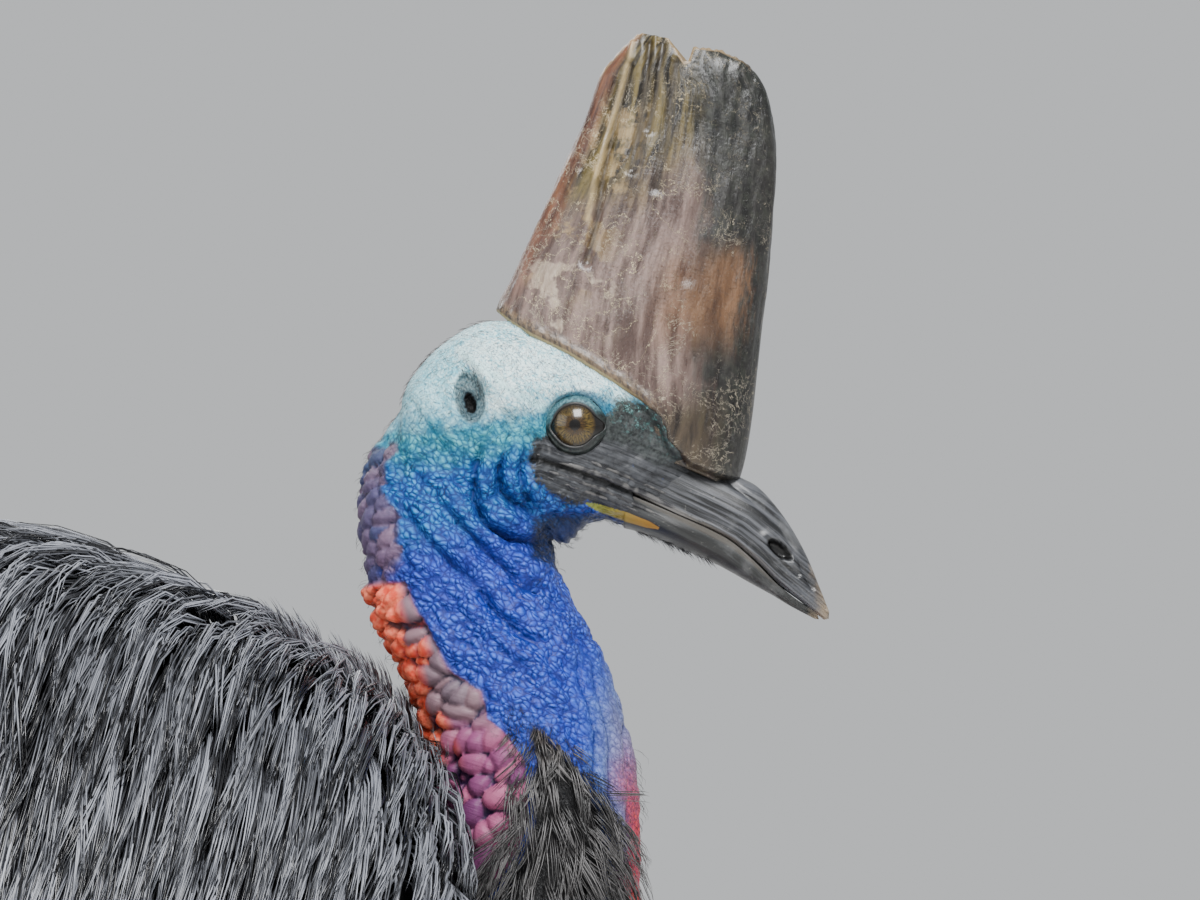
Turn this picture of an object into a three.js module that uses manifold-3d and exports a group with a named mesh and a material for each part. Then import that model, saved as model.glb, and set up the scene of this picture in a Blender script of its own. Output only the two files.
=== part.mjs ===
// A life-size standing southern cassowary: helmeted head, bare folded neck with caruncles and two
// wattles, a deep coat of drooping hair-like plumage, small quilled wings and three-toed legs.
// Millimetres, +Z up, the bird faces +X. The origin is on the floor under the middle of its box.
import * as THREE from "three";
import { mergeVertices } from "three/addons/utils/BufferGeometryUtils.js";
import Module from "manifold-3d";

const wasm = await Module();
wasm.setup();

// Driving dimensions
const EYE_HEIGHT = 1010; // the eye's centre above the floor, with the neck drawn in
const GAP = 0.3; // the clearance that neighbours keep
const EYE_SIDE = 19; // the eyeball's centre from the middle of the head
const EYE_RADIUS = 15;
const LID = { radius: 12, thick: 2.2, side: 30.4 };
const EAR = { place: [-42.7, 10], side: 34.5, radii: [5.2, 9.5], deep: 6, tilt: 0.25 };
const NOSTRIL = { place: [83.7, -50.8], side: 8.6, radii: [6.6, 3.4, 2.3], tilt: 0.72 };
const MOUTH_SLIT = 0.8; // the gap between the closed jaws
const COAT = 30; // how far the core of the body lies under the tips of its plumage
const NECK_COAT = 13;
const THIGH_COAT = 11;
const FOOT_SIDE = 92; // each foot's middle from the bird's middle
const FOOT_FORWARD = { right: -372, left: -424 }; // the feet's middles from the eye, along X
const CLAW_CLEAR = 0.6; // the claws stay this far over the floor that the toes stand on
const WATTLE_SIDE = 13;
const WING = { place: [-196, 0, -238], side: 158, radii: [34, 13, 22] };
const QUILL = { count: 4, length: 265, radius: 2.6, clear: 7 };

// Profiles are seen from the side, from the eye's centre, X forward and Z up. Each station holds
// the low point x, z, the high point x, z, the half width, and where it is widest, 0 low to 1 high.
const HEAD = [
  [-71, -2, -70, 12, 10, 0.5],
  [-74, -20, -66, 20, 24, 0.5],
  [-68, -36, -55, 32, 31, 0.5],
  [-54, -44, -39, 41.5, 35, 0.5],
  [-35, -49, -23, 41.5, 35.5, 0.52],
  [-14, -46, -9, 36.5, 33.5, 0.54],
  [3, -40, 5, 30, 30.5, 0.56],
  [17, -40, 19, 22.5, 26, 0.54],
  [30, -44, 33, 13, 21.5, 0.5],
  [46, -51, 52, -6, 16, 0.45],
];
const NECK = [
  [-70, 8, -15, -18, 27, 0.5],
  [-83, -12, -11, -39, 33, 0.5],
  [-87.5, -35, -9, -52, 34.5, 0.5],
  [-85, -56, -4, -65, 35.5, 0.5],
  [-79, -82, 7, -85, 37, 0.5],
  [-70, -101, 15.5, -104, 38.5, 0.5],
  [-64, -117, 21.5, -121, 40, 0.5],
  [-60, -137, 24.5, -140, 42, 0.5],
  [-59, -165, 26, -165, 44, 0.5],
  [-60, -194, 26, -194, 46, 0.5],
  [-72, -231, 26, -229, 52, 0.48],
  [-100, -272, 25, -268, 62, 0.45],
  [-145, -310, 18, -318, 72, 0.42],
];
const CASQUE = [
  [-20, 8, 66, -26, 23, 0.5],
  [-30, 34, 69.5, -14, 25, 0.5],
  [-32.5, 46, 72.5, 4, 24.5, 0.5],
  [-25, 62, 76, 34, 22, 0.5],
  [-14, 85, 79.5, 64, 18.5, 0.5],
  [-4.5, 107, 81.8, 95, 15, 0.5],
  [4, 126, 81.8, 117, 11.5, 0.5],
  [12, 145, 78.5, 135, 9, 0.5],
  [19.5, 154, 71, 147, 7, 0.5],
  [26, 160, 60, 153.5, 4.5, 0.5],
];
const BILL_UPPER = [
  [22, -28, 30, 8, 17, 0.05],
  [41, -37, 51, -12, 15, 0.05],
  [54.7, -43.2, 66, -20.5, 13, 0.08],
  [64, -48.2, 75.5, -26, 11.8, 0.1],
  [73.5, -56, 85.7, -38, 10.2, 0.12],
  [83, -65.3, 94, -52.2, 8, 0.15],
  [92, -72, 100, -66.5, 5.4, 0.2],
  [101.6, -79.6, 103.8, -76.3, 2.3, 0.4],
];
const BILL_LOWER = [
  [20, -42, 20, -28.5, 17.5, 0.95],
  [38, -45.7, 41, -37.8, 15, 0.95],
  [51, -52.2, 54.7, -43.9, 12.6, 0.95],
  [61.2, -58.4, 64, -49, 10.8, 0.95],
  [70.6, -64, 73.3, -57, 8.8, 0.95],
  [80.4, -69.4, 82.6, -66.4, 6.4, 0.95],
  [88, -74, 90, -72.6, 3.8, 0.95],
  [93.5, -77, 94.5, -76.2, 1.6, 0.8],
];
// The line where the closed mouth meets, from its corner under the eye forward
const GAPE = [
  [-14.3, -14.3],
  [0, -19.5],
  [12, -23.5],
  [22, -28],
  [41, -37.4],
  [60, -46.5],
];
// The outside of the body's plumage, from the breast to the rump
const TORSO = [
  [29, -338, 14, -296, 30, 0.5],
  [20, -392, -34, -236, 82, 0.45],
  [-18, -436, -60, -182, 116, 0.42],
  [-80, -472, -64, -134, 138, 0.42],
  [-135, -490, -92, -98, 156, 0.42],
  [-195, -502, -150, -68, 174, 0.42],
  [-275, -508, -235, -42, 190, 0.42],
  [-375, -506, -345, -31, 198, 0.42],
  [-480, -496, -455, -31, 194, 0.42],
  [-590, -480, -565, -50, 178, 0.42],
  [-690, -458, -662, -94, 150, 0.43],
  [-780, -434, -745, -158, 112, 0.45],
  [-846, -408, -815, -236, 68, 0.48],
  [-880, -372, -862, -316, 24, 0.5],
];
const TAIL_FROM = 0.6; // where the rump begins, as a share along the body
const WATTLE = [
  [14, -196, 25, -190, 6, 0.5],
  [16, -214, 34, -208, 9, 0.5],
  [18, -250, 41, -248, 10, 0.5],
  [18, -290, 44, -290, 11.5, 0.5],
  [20, -322, 43, -324, 12, 0.5],
  [25, -346, 38, -347, 8, 0.5],
];
// Legs are seen from the foot's middle on the floor. Low is the back edge, high is the front one.
const SHANK = [
  [-28, 16, 26, 18, 20, 0.5],
  [-26, 52, 24, 56, 22, 0.5],
  [-24, 76, 19, 80, 20, 0.5],
  [-26, 120, 13, 122, 16.5, 0.5],
  [-34, 210, 3, 212, 15.5, 0.5],
  [-46, 300, -6, 303, 17, 0.5],
  [-60, 342, -8, 354, 22, 0.5],
  [-73, 374, -10, 394, 26.5, 0.5],
  [-66, 412, -5, 424, 25, 0.5],
  [-54, 446, 6, 440, 23, 0.5],
  [-44, 486, 22, 470, 25, 0.5],
];
const THIGH = [
  [-62, 434, 10, 426, 33, 0.5],
  [-70, 466, 28, 448, 42, 0.5],
  [-77, 520, 54, 480, 54, 0.5],
  [-78, 580, 86, 526, 66, 0.5],
  [-66, 650, 112, 592, 74, 0.5],
  [-40, 710, 116, 660, 66, 0.5],
  [0, 740, 90, 716, 30, 0.5],
];
// Each toe: its turn outwards, the distance from the foot's middle, top height and half width of
// its stations, and its claw's length and radius. The inner toe carries the long dagger.
const TOES = {
  middle: { turn: 2, reach: [[-30, 16, 12], [0, 50, 21], [34, 37, 17.5], [70, 30, 16], [104, 26, 14], [124, 20, 10]], claw: [44, 8.5] },
  outer: { turn: 33, reach: [[-6, 30, 14], [14, 42, 17], [40, 31, 15], [66, 27, 13.5], [86, 23, 12], [100, 18, 9]], claw: [34, 7.5] },
  inner: { turn: -25, reach: [[-6, 30, 14], [14, 40, 16], [36, 30, 14.5], [56, 27, 13], [68, 23, 11], [76, 19, 9]], claw: [104, 8] },
};
const SIDES = [["right", -1], ["left", 1]];

const STEP = 0.004; // the small step that a form's slopes are taken over

// A body drawn through stations, whose sections are superellipses. Roundness 1 is an ellipse, less is
// boxier. Grow moves the surface out, by a number of millimetres or by a function of the share along.
class Form {
  constructor(stations, { grow = 0, roundness = 1, from = 0, to = 1, side = 0 } = {}) {
    const times = stations.map((_, i) => i / (stations.length - 1));
    this.curve = new THREE.CubicInterpolant(times, stations.flat(), 6, new Float64Array(6));
    this.growAt = typeof grow === "function" ? grow : () => grow;
    Object.assign(this, { roundness, from, to, side });
  }

  // The point at a share along the form and a turn round it, which is 0 at the high point
  at(share, turn) {
    const s = Math.min(Math.max(this.from + share * (this.to - this.from), 0), 1);
    const [ax, az, bx, bz, wide, widest] = this.curve.evaluate(s);
    const grow = this.growAt(s);
    const [c, d] = [Math.cos(turn), Math.sin(turn)];
    const up = Math.sign(c) * Math.abs(c) ** this.roundness;
    const out = Math.sign(d) * Math.abs(d) ** this.roundness;
    const push = Math.max(grow / Math.hypot(bx - ax, bz - az), -0.42);
    const along = widest + (up > 0 ? (1 - widest) * up : widest * up) + push * up;
    const reach = Math.max(wide + grow, 0.15 * wide);
    return new THREE.Vector3(ax + (bx - ax) * along, this.side + reach * out, az + (bz - az) * along);
  }

  middle(share) {
    return this.at(share, Math.PI).add(this.at(share, 0)).multiplyScalar(0.5);
  }

  normal(share, turn) {
    const along = this.at(share + STEP, turn).sub(this.at(share - STEP, turn));
    const round = this.at(share, turn + STEP).sub(this.at(share, turn - STEP));
    const normal = along.cross(round).normalize();
    return normal.dot(this.at(share, turn).sub(this.middle(share))) < 0 ? normal.negate() : normal;
  }

  // Walks over the surface from a spot in the direction that heading gives
  walk(share, turn, heading, length, steps) {
    const places = [];
    for (let i = 0; i <= steps; i++) {
      const spot = this.at(share, turn);
      const along = this.at(share + STEP, turn).sub(spot).divideScalar(STEP);
      const round = this.at(share, turn + STEP).sub(spot).divideScalar(STEP);
      const normal = this.normal(share, turn);
      const way = heading(share, turn).projectOnPlane(normal).normalize();
      places.push({ spot, normal, way, radius: spot.distanceTo(this.middle(share)) });
      const [aa, ar, rr] = [along.dot(along), along.dot(round), round.dot(round)];
      const [wa, wr] = [way.dot(along), way.dot(round)];
      const scale = length / steps / (aa * rr - ar * ar);
      share = Math.min(Math.max(share + scale * (wa * rr - wr * ar), 0.01), 0.99);
      turn += scale * (wr * aa - wa * ar);
    }
    return places;
  }

  // One closed body, with its two ends domed by some millimetres
  solid(columns, rows, dome = 0) {
    const ends = [0, 1].map((share) => {
      const inner = this.middle(share ? 1 - STEP : STEP);
      const away = this.middle(share).sub(inner).normalize();
      return this.middle(share).addScaledVector(away, dome);
    });
    return remap(new THREE.SphereGeometry(1, columns, rows), columns, rows, (row, column) => {
      if (row === 0) return ends[0];
      if (row === rows) return ends[1];
      return this.at((row - 1) / (rows - 2), (2 * Math.PI * column) / columns);
    });
  }
}

// A ball's rows and columns moved to other places, as a solid
function remap(ball, columns, rows, spotAt) {
  const uv = ball.getAttribute("uv");
  const spots = ball.getAttribute("position");
  for (let i = 0; i < spots.count; i++) {
    const row = Math.round((1 - uv.getY(i)) * rows);
    const column = Math.round(uv.getX(i) * columns) % columns;
    spots.setXYZ(i, ...spotAt(row, column).toArray());
  }
  return toSolid(ball);
}

// A three.js geometry as a solid that faces outwards
function toSolid(geometry) {
  const bare = new THREE.BufferGeometry();
  bare.setAttribute("position", geometry.getAttribute("position").clone());
  bare.setIndex(geometry.index);
  const merged = mergeVertices(bare, 1e-4);
  const triVerts = new Uint32Array(merged.index.array).filter((_, i, all) => {
    const [a, b, c] = all.slice(i - (i % 3), i - (i % 3) + 3);
    return a !== b && b !== c && c !== a;
  });
  const vertProperties = new Float32Array(merged.attributes.position.array);
  if (signedVolume(vertProperties, triVerts) < 0) {
    for (let i = 0; i < triVerts.length; i += 3) {
      [triVerts[i + 1], triVerts[i + 2]] = [triVerts[i + 2], triVerts[i + 1]];
    }
  }
  return new wasm.Manifold(new wasm.Mesh({ numProp: 3, vertProperties, triVerts }));
}

function signedVolume(points, triangles) {
  const corner = (i) => new THREE.Vector3().fromArray(points, 3 * triangles[i]);
  let sum = 0;
  for (let i = 0; i < triangles.length; i += 3) {
    sum += corner(i).dot(corner(i + 1).cross(corner(i + 2)));
  }
  return sum;
}

function union(solids) {
  return wasm.Manifold.union(solids);
}

function without(solid, cutters) {
  return wasm.Manifold.difference([solid, ...cutters]);
}

// The largest closed surface of a solid, without loose scraps or cavities, as points and triangles
function largest(solid) {
  const { numProp, numVert, vertProperties, triVerts } = solid.getMesh();
  const points = new Float32Array(3 * numVert).map((_, i) => vertProperties[Math.floor(i / 3) * numProp + (i % 3)]);
  const shellOf = Array.from({ length: numVert }, (_, i) => i);
  const rootOf = (i) => {
    while (shellOf[i] !== i) i = shellOf[i] = shellOf[shellOf[i]];
    return i;
  };
  for (let i = 0; i < triVerts.length; i += 3) {
    shellOf[rootOf(triVerts[i])] = rootOf(triVerts[i + 1]);
    shellOf[rootOf(triVerts[i + 1])] = rootOf(triVerts[i + 2]);
  }
  const shells = new Map();
  for (let i = 0; i < triVerts.length; i += 3) {
    const root = rootOf(triVerts[i]);
    if (!shells.has(root)) shells.set(root, []);
    shells.get(root).push(triVerts[i], triVerts[i + 1], triVerts[i + 2]);
  }
  const sized = [...shells.values()].map((triangles) => [signedVolume(points, triangles), triangles]);
  const [, triangles] = sized.reduce((best, shell) => (shell[0] > best[0] ? shell : best));
  const used = [...new Set(triangles)];
  const place = new Map(used.map((old, i) => [old, i]));
  return {
    points: new Float32Array(used.flatMap((old) => [...points.subarray(3 * old, 3 * old + 3)])),
    triangles: new Uint32Array(triangles.map((old) => place.get(old))),
  };
}

// A plane across the side view through two points, facing the left of the way from first to second
function planeThrough([x1, z1], [x2, z2]) {
  const normal = new THREE.Vector3(z1 - z2, 0, x2 - x1).normalize();
  return { normal, offset: normal.dot(new THREE.Vector3(x1, 0, z1)) };
}

function keepAbove(solid, { normal, offset }, gap = GAP / 2) {
  return solid.trimByPlane(normal.toArray(), offset + gap);
}

function keepBelow(solid, { normal, offset }, gap = GAP / 2) {
  return solid.trimByPlane(normal.clone().negate().toArray(), -offset + gap);
}

// A ball stretched to three radii, turned about Y and moved
function bulb(radii, tilt, place, columns = 6, rows = 4) {
  const ball = new THREE.SphereGeometry(1, columns, rows);
  ball.scale(...radii);
  ball.rotateY(tilt);
  ball.translate(...place);
  return toSolid(ball);
}

function mirrored(make) {
  return [make(-1), make(1)];
}

function evenly(first, last, count) {
  return Array.from({ length: count }, (_, i) => first + ((last - first) * i) / (count - 1));
}

// A small seeded generator, so that every build is the same
let seed = 7;
function random() {
  seed = (seed * 16807) % 2147483647;
  return seed / 2147483647;
}

// A tapered three-sided lock through places, each with its normal, its way and its lift
const LOCK_WIDTHS = [0, 1, 0.85, 0];
function blade(places, { width, thick, grow }) {
  const rows = places.length - 1;
  return remap(new THREE.SphereGeometry(1, 3, rows), 3, rows, (row, corner) => {
    const { spot, normal, way, lift, radius } = places[row];
    const half = 0.5 * width * LOCK_WIDTHS[row];
    const across = (half + 4 * grow * Math.sign(half)) * (corner - 1);
    const ridge = thick * Math.sqrt(LOCK_WIDTHS[row]) + 3 * grow;
    const high = lift + (corner === 1 ? ridge : -(half * half) / (2 * radius) - grow);
    if (row === 0) return spot.clone().addScaledVector(normal, lift).addScaledVector(way, -3 * grow);
    if (row === rows) return spot.clone().addScaledVector(normal, lift).addScaledVector(way, 3 * grow);
    return spot.clone().addScaledVector(normal, high).addScaledVector(normal.clone().cross(way), across);
  });
}

// Locks in staggered tiers over a form, the same on both sides but for a little scatter. Each tier
// has a turn, the shares along the form where its locks are rooted, and may have a length of its own.
function coat(form, tiers, { heading, length, width, thick, sink, lift, scatter, grow = 0 }) {
  seed = 7;
  const stray = () => (random() - 0.5) * scatter;
  return tiers.flatMap((tier) =>
    SIDES.flatMap(([, side]) =>
      tier.shares.map((share, column) => {
        const turn = side * (tier.turn + 0.12 * stray());
        const rows = LOCK_WIDTHS.length - 1;
        const reach = (tier.length ?? length) * (1 + 0.4 * stray());
        const rise = (lift + sink) * (1 + (column % 2 ? 0 : -0.2) + 0.15 * stray());
        const places = form.walk(share, turn, (s, t) => heading(s, t, side), reach, rows);
        places.forEach((place, i) => {
          place.lift = -sink + rise * Math.sin((i / rows) * (Math.PI / 2)) ** 0.8;
        });
        return blade(places, { width: width * (1 + 0.3 * stray()), thick, grow });
      }),
    ),
  );
}

const bird = new THREE.Group();
bird.position.z = EYE_HEIGHT;

const FINISHES = {
  skin_pale: [0x9fdde0, 0.7],
  skin_blue: [0x2f5fc4, 0.7],
  casque_horn: [0x6b5748, 0.45],
  bill_horn: [0x3a3a40, 0.4],
  eye: [0xb98a3c, 0.1],
  wattle: [0xb8261d, 0.6],
  plumage: [0x2b2b2e, 0.55],
  quill: [0x151416, 0.35],
  leg_scale: [0x6f6a5c, 0.6],
  claw: [0x2a2623, 0.4],
};

// Adds a finished solid to a group as a named mesh of its own
function add(group, name, solid, finish) {
  const { points, triangles } = largest(solid);
  const geometry = new THREE.BufferGeometry();
  geometry.setAttribute("position", new THREE.BufferAttribute(points, 3));
  geometry.setIndex(new THREE.BufferAttribute(triangles, 1));
  const [color, roughness] = FINISHES[finish];
  const piece = new THREE.Mesh(geometry, new THREE.MeshStandardMaterial({ color, roughness, metalness: 0 }));
  piece.name = name;
  group.add(piece);
}

// Head and neck are one flesh, parted across the throat and above the feathered patch
const THROAT_CUT = planeThrough([-87.3, -33], [-7.8, -52]);
const NECK_CUT = planeThrough([-66, -115], [22, -123]);
const BILL_CUT = planeThrough([33, -45], [50, -14]);
const headForm = (grow) => new Form(HEAD, { roundness: 0.82, grow });
const neckForm = (grow) => new Form(NECK, { roundness: 0.95, grow });
const eyeBall = (side, radius) => bulb([radius, radius, radius], 0, [0, side * EYE_SIDE, 0], 12, 8);
const lid = (side) => {
  const ring = new THREE.TorusGeometry(LID.radius, LID.thick, 4, 12);
  ring.rotateX(Math.PI / 2);
  ring.translate(0, side * LID.side, 0);
  return toSolid(ring);
};
const [EAR_X, EAR_Z] = EAR.place;
const earRim = (side) => {
  const ring = new THREE.TorusGeometry(1, 0.3, 4, 9);
  ring.scale(EAR.radii[0], EAR.radii[1], 6);
  ring.rotateX(Math.PI / 2);
  ring.rotateY(EAR.tilt);
  ring.translate(EAR_X, side * EAR.side, EAR_Z);
  return toSolid(ring);
};
const earCup = (side) => {
  const radii = [EAR.radii[0] * 0.8, EAR.deep, EAR.radii[1] * 0.8];
  return bulb(radii, EAR.tilt, [EAR_X, side * EAR.side, EAR_Z], 6, 4);
};

// The nape's caruncles: braided rolls above, round bulbs below and down both sides of the neck
const rolls = (grow) =>
  evenly(0.1, 0.42, 7).flatMap((share, row) =>
    [-0.42, 0, 0.42].map((turn) => {
      const spot = neckForm(0).at(share + (turn ? 0.02 : 0), Math.PI + turn);
      const radii = [6, 5.5, 10].map((radius) => radius + grow);
      return bulb(radii, -0.5 + 0.25 * (row % 2), spot.toArray(), 5, 3);
    }),
  );
const bulbs = (grow) => {
  seed = 11;
  return evenly(0.47, 0.7, 6).flatMap((share, row) =>
    SIDES.flatMap(([, side]) =>
      [0.34, 0.72].map((turn, column) => {
        const forward = 0.12 * row + 0.12 * random();
        const spot = neckForm(0).at(share + 0.015 * column, Math.PI + side * (turn + forward));
        const swell = 0.85 + 0.3 * random();
        const radii = [9, 7, 7].map((radius) => radius * swell + grow);
        return bulb(radii, 0.7 * (random() - 0.5), spot.toArray(), 5, 3);
      }),
    ),
  );
};
const fleshWhole = union([
  headForm(0).solid(18, 14, 6),
  neckForm(0).solid(18, 17, 10),
  ...mirrored(lid),
  ...mirrored(earRim),
  ...rolls(0),
  ...bulbs(0),
]);
const flesh = without(fleshWhole, [
  ...mirrored((side) => eyeBall(side, EYE_RADIUS + GAP)),
  ...mirrored(earCup),
]);

// The mouth's slit runs through the whole head, from its corner to the bill
const slitOutline = new THREE.Shape([
  ...GAPE.map(([x, z]) => new THREE.Vector2(x, z + MOUTH_SLIT / 2)),
  ...GAPE.slice(1).reverse().map(([x, z]) => new THREE.Vector2(x, z - MOUTH_SLIT / 2)),
]);
const slit = new THREE.ExtrudeGeometry(slitOutline, { depth: 100, bevelEnabled: false });
slit.rotateX(Math.PI / 2);
slit.translate(0, 50, 0);
const head = keepAbove(keepAbove(flesh, THROAT_CUT), BILL_CUT);
add(bird, "head", without(head, [toSolid(slit)]), "skin_pale");
for (const [name, side] of SIDES) add(bird, "eye_" + name, eyeBall(side, EYE_RADIUS), "eye");

// Horn: the two halves of the bill, and the casque that stands on the skull and the bill's root
const billUpper = (grow) => new Form(BILL_UPPER, { roundness: 0.9, grow }).solid(14, 12, 1.5);
const billLower = new Form(BILL_LOWER, { roundness: 0.9 }).solid(14, 12, 1.5);
const nostril = (side) => {
  const [x, z] = NOSTRIL.place;
  return bulb(NOSTRIL.radii, NOSTRIL.tilt, [x, side * NOSTRIL.side, z], 8, 6);
};
add(bird, "bill_upper", without(keepBelow(billUpper(0), BILL_CUT), mirrored(nostril)), "bill_horn");
add(bird, "bill_lower", keepBelow(billLower, BILL_CUT), "bill_horn");

// The worn rim of the casque has lost three chips: middle x, z and size
const CHIPS = [
  [45, 156, 6],
  [21, 161, 4],
  [39, 163.5, 4],
];
const chips = CHIPS.map(([x, z, size]) => {
  const wedge = new THREE.CylinderGeometry(size, size, 60, 3);
  wedge.rotateY(Math.PI / 2);
  wedge.translate(x, 0, z);
  return toSolid(wedge);
});
const casque = new Form(CASQUE, { roundness: 0.8 }).solid(18, 15, 1);
const seat = [headForm(GAP).solid(18, 14, 6), billUpper(GAP)];
add(bird, "casque", without(casque, [...seat, ...chips]), "casque_horn");

// Neck, whose lower length carries a patch of feathers down each side
const belowHead = keepBelow(flesh, THROAT_CUT);
const NECK_TIERS = [
  { turn: 1.35, shares: [0.54, 0.68] },
  { turn: 0.8, shares: [0.6, 0.74] },
  { turn: 1.85, shares: [0.64] },
];
const neckLocks = (grow) =>
  coat(neckForm(0), NECK_TIERS, {
    heading: (s, t, side) => new THREE.Vector3(0.4 * Math.cos(t), 0.2 * side, -1),
    length: 84,
    width: 38,
    thick: 5,
    sink: 4,
    lift: NECK_COAT - 6,
    scatter: 0.6,
    grow,
  });
const wattle = (side, grow) => new Form(WATTLE, { side: side * WATTLE_SIDE, grow }).solid(9, 9, 3 + grow);
const neckLower = union([belowHead, ...neckLocks(0)]);
add(bird, "neck_upper", keepAbove(belowHead, NECK_CUT), "skin_blue");
add(bird, "neck_lower", without(keepBelow(neckLower, NECK_CUT), mirrored((side) => wattle(side, GAP))), "plumage");
for (const [name, side] of SIDES) add(bird, "wattle_" + name, wattle(side, 0), "wattle");

// Legs, each in a group at its foot's middle on the floor
const SHANK_SCUTES = evenly(0.19, 0.62, 10);
const TOE_SCUTES = evenly(0.45, 0.86, 3);
const THIGH_TIERS = [
  { turn: 0.4, shares: [0.44] },
  { turn: 1.3, shares: [0.4] },
  { turn: 2.2, shares: [0.44] },
];
const floor = { normal: new THREE.Vector3(0, 0, 1), offset: 0 };
const thighSpace = (grow) => new Form(THIGH, { grow }).solid(14, 12, 4 + grow);
const shankSpace = (grow) => new Form(SHANK, { grow }).solid(12, 17, 2 + grow);
const shankForm = new Form(SHANK);
const scutes = SHANK_SCUTES.map((share) => bulb([3.6, 10.5, 12.5], 0.1, shankForm.at(share, 0).toArray(), 5, 3));
const shank = keepAbove(union([shankSpace(0), ...scutes]), floor, 0);
const thighCore = new Form(THIGH, { grow: -THIGH_COAT });
const clawStations = ([end, top], [length, radius]) =>
  [-16, 0, 0.45, 0.8, 1].map((far) => {
    const slim = far < 0 ? 0.8 : Math.max(1 - far, 0.1) ** 0.7;
    const middle = 0.55 * top + 2 - 6 * Math.max(far, 0) ** 2;
    const along = end + (far < 0 ? far : far * length);
    return [along, Math.max(middle - radius * slim, CLAW_CLEAR), along, middle + radius * slim, radius * slim, 0.5];
  });
const spin = (solid, degrees) => solid.rotate([0, 0, degrees]);

for (const [name, side] of SIDES) {
  const leg = new THREE.Group();
  leg.position.set(FOOT_FORWARD[name], side * FOOT_SIDE, -EYE_HEIGHT);
  bird.add(leg);
  const locks = coat(thighCore, THIGH_TIERS, {
    heading: () => new THREE.Vector3(-0.15, 0, -1),
    length: 105,
    width: 66,
    thick: 4,
    sink: 4,
    lift: THIGH_COAT - 6,
    scatter: 0.5,
  });
  const thigh = union([thighCore.solid(18, 16, 4), ...locks]).intersect(thighSpace(0));
  add(leg, "thigh_" + name, without(thigh, [shankSpace(GAP)]), "plumage");
  add(leg, "shank_" + name, shank, "leg_scale");
  const taken = [keepAbove(shankSpace(GAP), floor, 0)];
  for (const [toe, { turn, reach, claw }] of Object.entries(TOES)) {
    const stations = reach.map(([along, top, half]) => [along, -8, along, top, half, 0.4]);
    const toeForm = (grow) => new Form(stations, { grow }).solid(8, 8, 3 + grow);
    const half = reach.at(-1)[2];
    const plates = TOE_SCUTES.map((share) => bulb([8, half, 3.2], 0.15, new Form(stations).at(share, 0).toArray(), 5, 3));
    const outwards = side * turn;
    const clawForm = (grow) => new Form(clawStations(reach.at(-1), claw), { grow }).solid(6, 7, 1 + grow);
    const whole = keepAbove(spin(union([toeForm(0), ...plates]), outwards), floor, 0);
    add(leg, `toe_${toe}_${name}`, without(whole, [...taken, spin(clawForm(GAP), outwards)]), "leg_scale");
    add(leg, `claw_${toe}_${name}`, spin(clawForm(0), outwards), "claw");
    taken.push(spin(toeForm(GAP), outwards));
  }
}

// Wings: a small stub in the plumage, with bare quills that arch down and back over it
const torsoForm = (grow, extra) => new Form(TORSO, { grow, ...extra });
const wing = (side, grow) => {
  const [x, , z] = WING.place;
  const stub = bulb(WING.radii.map((radius) => radius + grow), 0.3, [x, side * WING.side, z], 8, 6);
  const quills = evenly(0, 1, QUILL.count).map((far) => {
    const start = { share: 0.372 + 0.02 * far, turn: 1.22 + 0.1 * far };
    const heading = () => new THREE.Vector3(-0.75 + 0.5 * far, 0, -1 + 0.3 * far);
    const length = QUILL.length * (0.8 + 0.2 * Math.sin(Math.PI * far));
    const walked = torsoForm(0).walk(start.share, side * start.turn, heading, length, 8);
    const route = walked.map(({ spot, normal }, i) =>
      spot.clone().addScaledVector(normal, i === 0 ? -12 : QUILL.clear + 3 * far));
    return quill(route, QUILL.radius + grow);
  });
  return union([stub, ...quills]);
};

// A quill tapers along a smooth route
function quill(route, radius) {
  const curve = new THREE.CatmullRomCurve3(route);
  const rows = 8;
  return remap(new THREE.SphereGeometry(1, 4, rows), 4, rows, (row, column) => {
    const far = row / rows;
    const point = curve.getPoint(far);
    if (row === 0 || row === rows) return point;
    const way = curve.getTangent(far);
    const out = new THREE.Vector3(0, 1, 0).projectOnPlane(way).normalize();
    const size = radius * (1 - 0.75 * far ** 1.5);
    return point.addScaledVector(out.applyAxisAngle(way, (2 * Math.PI * column) / 4), size);
  });
}

// Body: a core with its coat, parted before the rump along the lie of the plumage
const fall = (s, t, side) => new THREE.Vector3(-0.5, 0.5 * side, -1);
const TORSO_TIERS = [
  { turn: 0.1, shares: evenly(0.26, 0.8, 6), length: 190 },
  { turn: 0.7, shares: evenly(0.2, 0.87, 7), length: 175 },
  { turn: 1.26, shares: evenly(0.15, 0.83, 7), length: 165 },
  { turn: 1.82, shares: evenly(0.1, 0.85, 7), length: 145 },
];
const core = torsoForm(-COAT, { from: 0.02, to: 0.975 });
const locks = coat(core, TORSO_TIERS, {
  heading: fall,
  width: 100,
  thick: 10,
  sink: 9,
  lift: COAT - 5,
  scatter: 0.4,
});
const inPlace = ([name, side]) => thighSpace(GAP).translate([FOOT_FORWARD[name], side * FOOT_SIDE, -EYE_HEIGHT]);
const body = without(union([core.solid(18, 13, 6), ...locks]), [
  neckForm(GAP).solid(18, 17, 10 + GAP),
  ...neckLocks(GAP),
  ...rolls(3 * GAP),
  ...bulbs(3 * GAP),
  ...SIDES.map(inPlace),
  ...SIDES.map(([, side]) => wing(side, GAP)),
  ...SIDES.map(([, side]) => wattle(side, GAP)),
]);
const rumpSpace = (grow) => {
  const flare = (s) => -COAT - 8 + 60 * Math.min((s - TAIL_FROM) / 0.28, 1) + grow;
  return torsoForm(flare, { from: TAIL_FROM, to: 1 }).solid(16, 9, 60);
};
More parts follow.
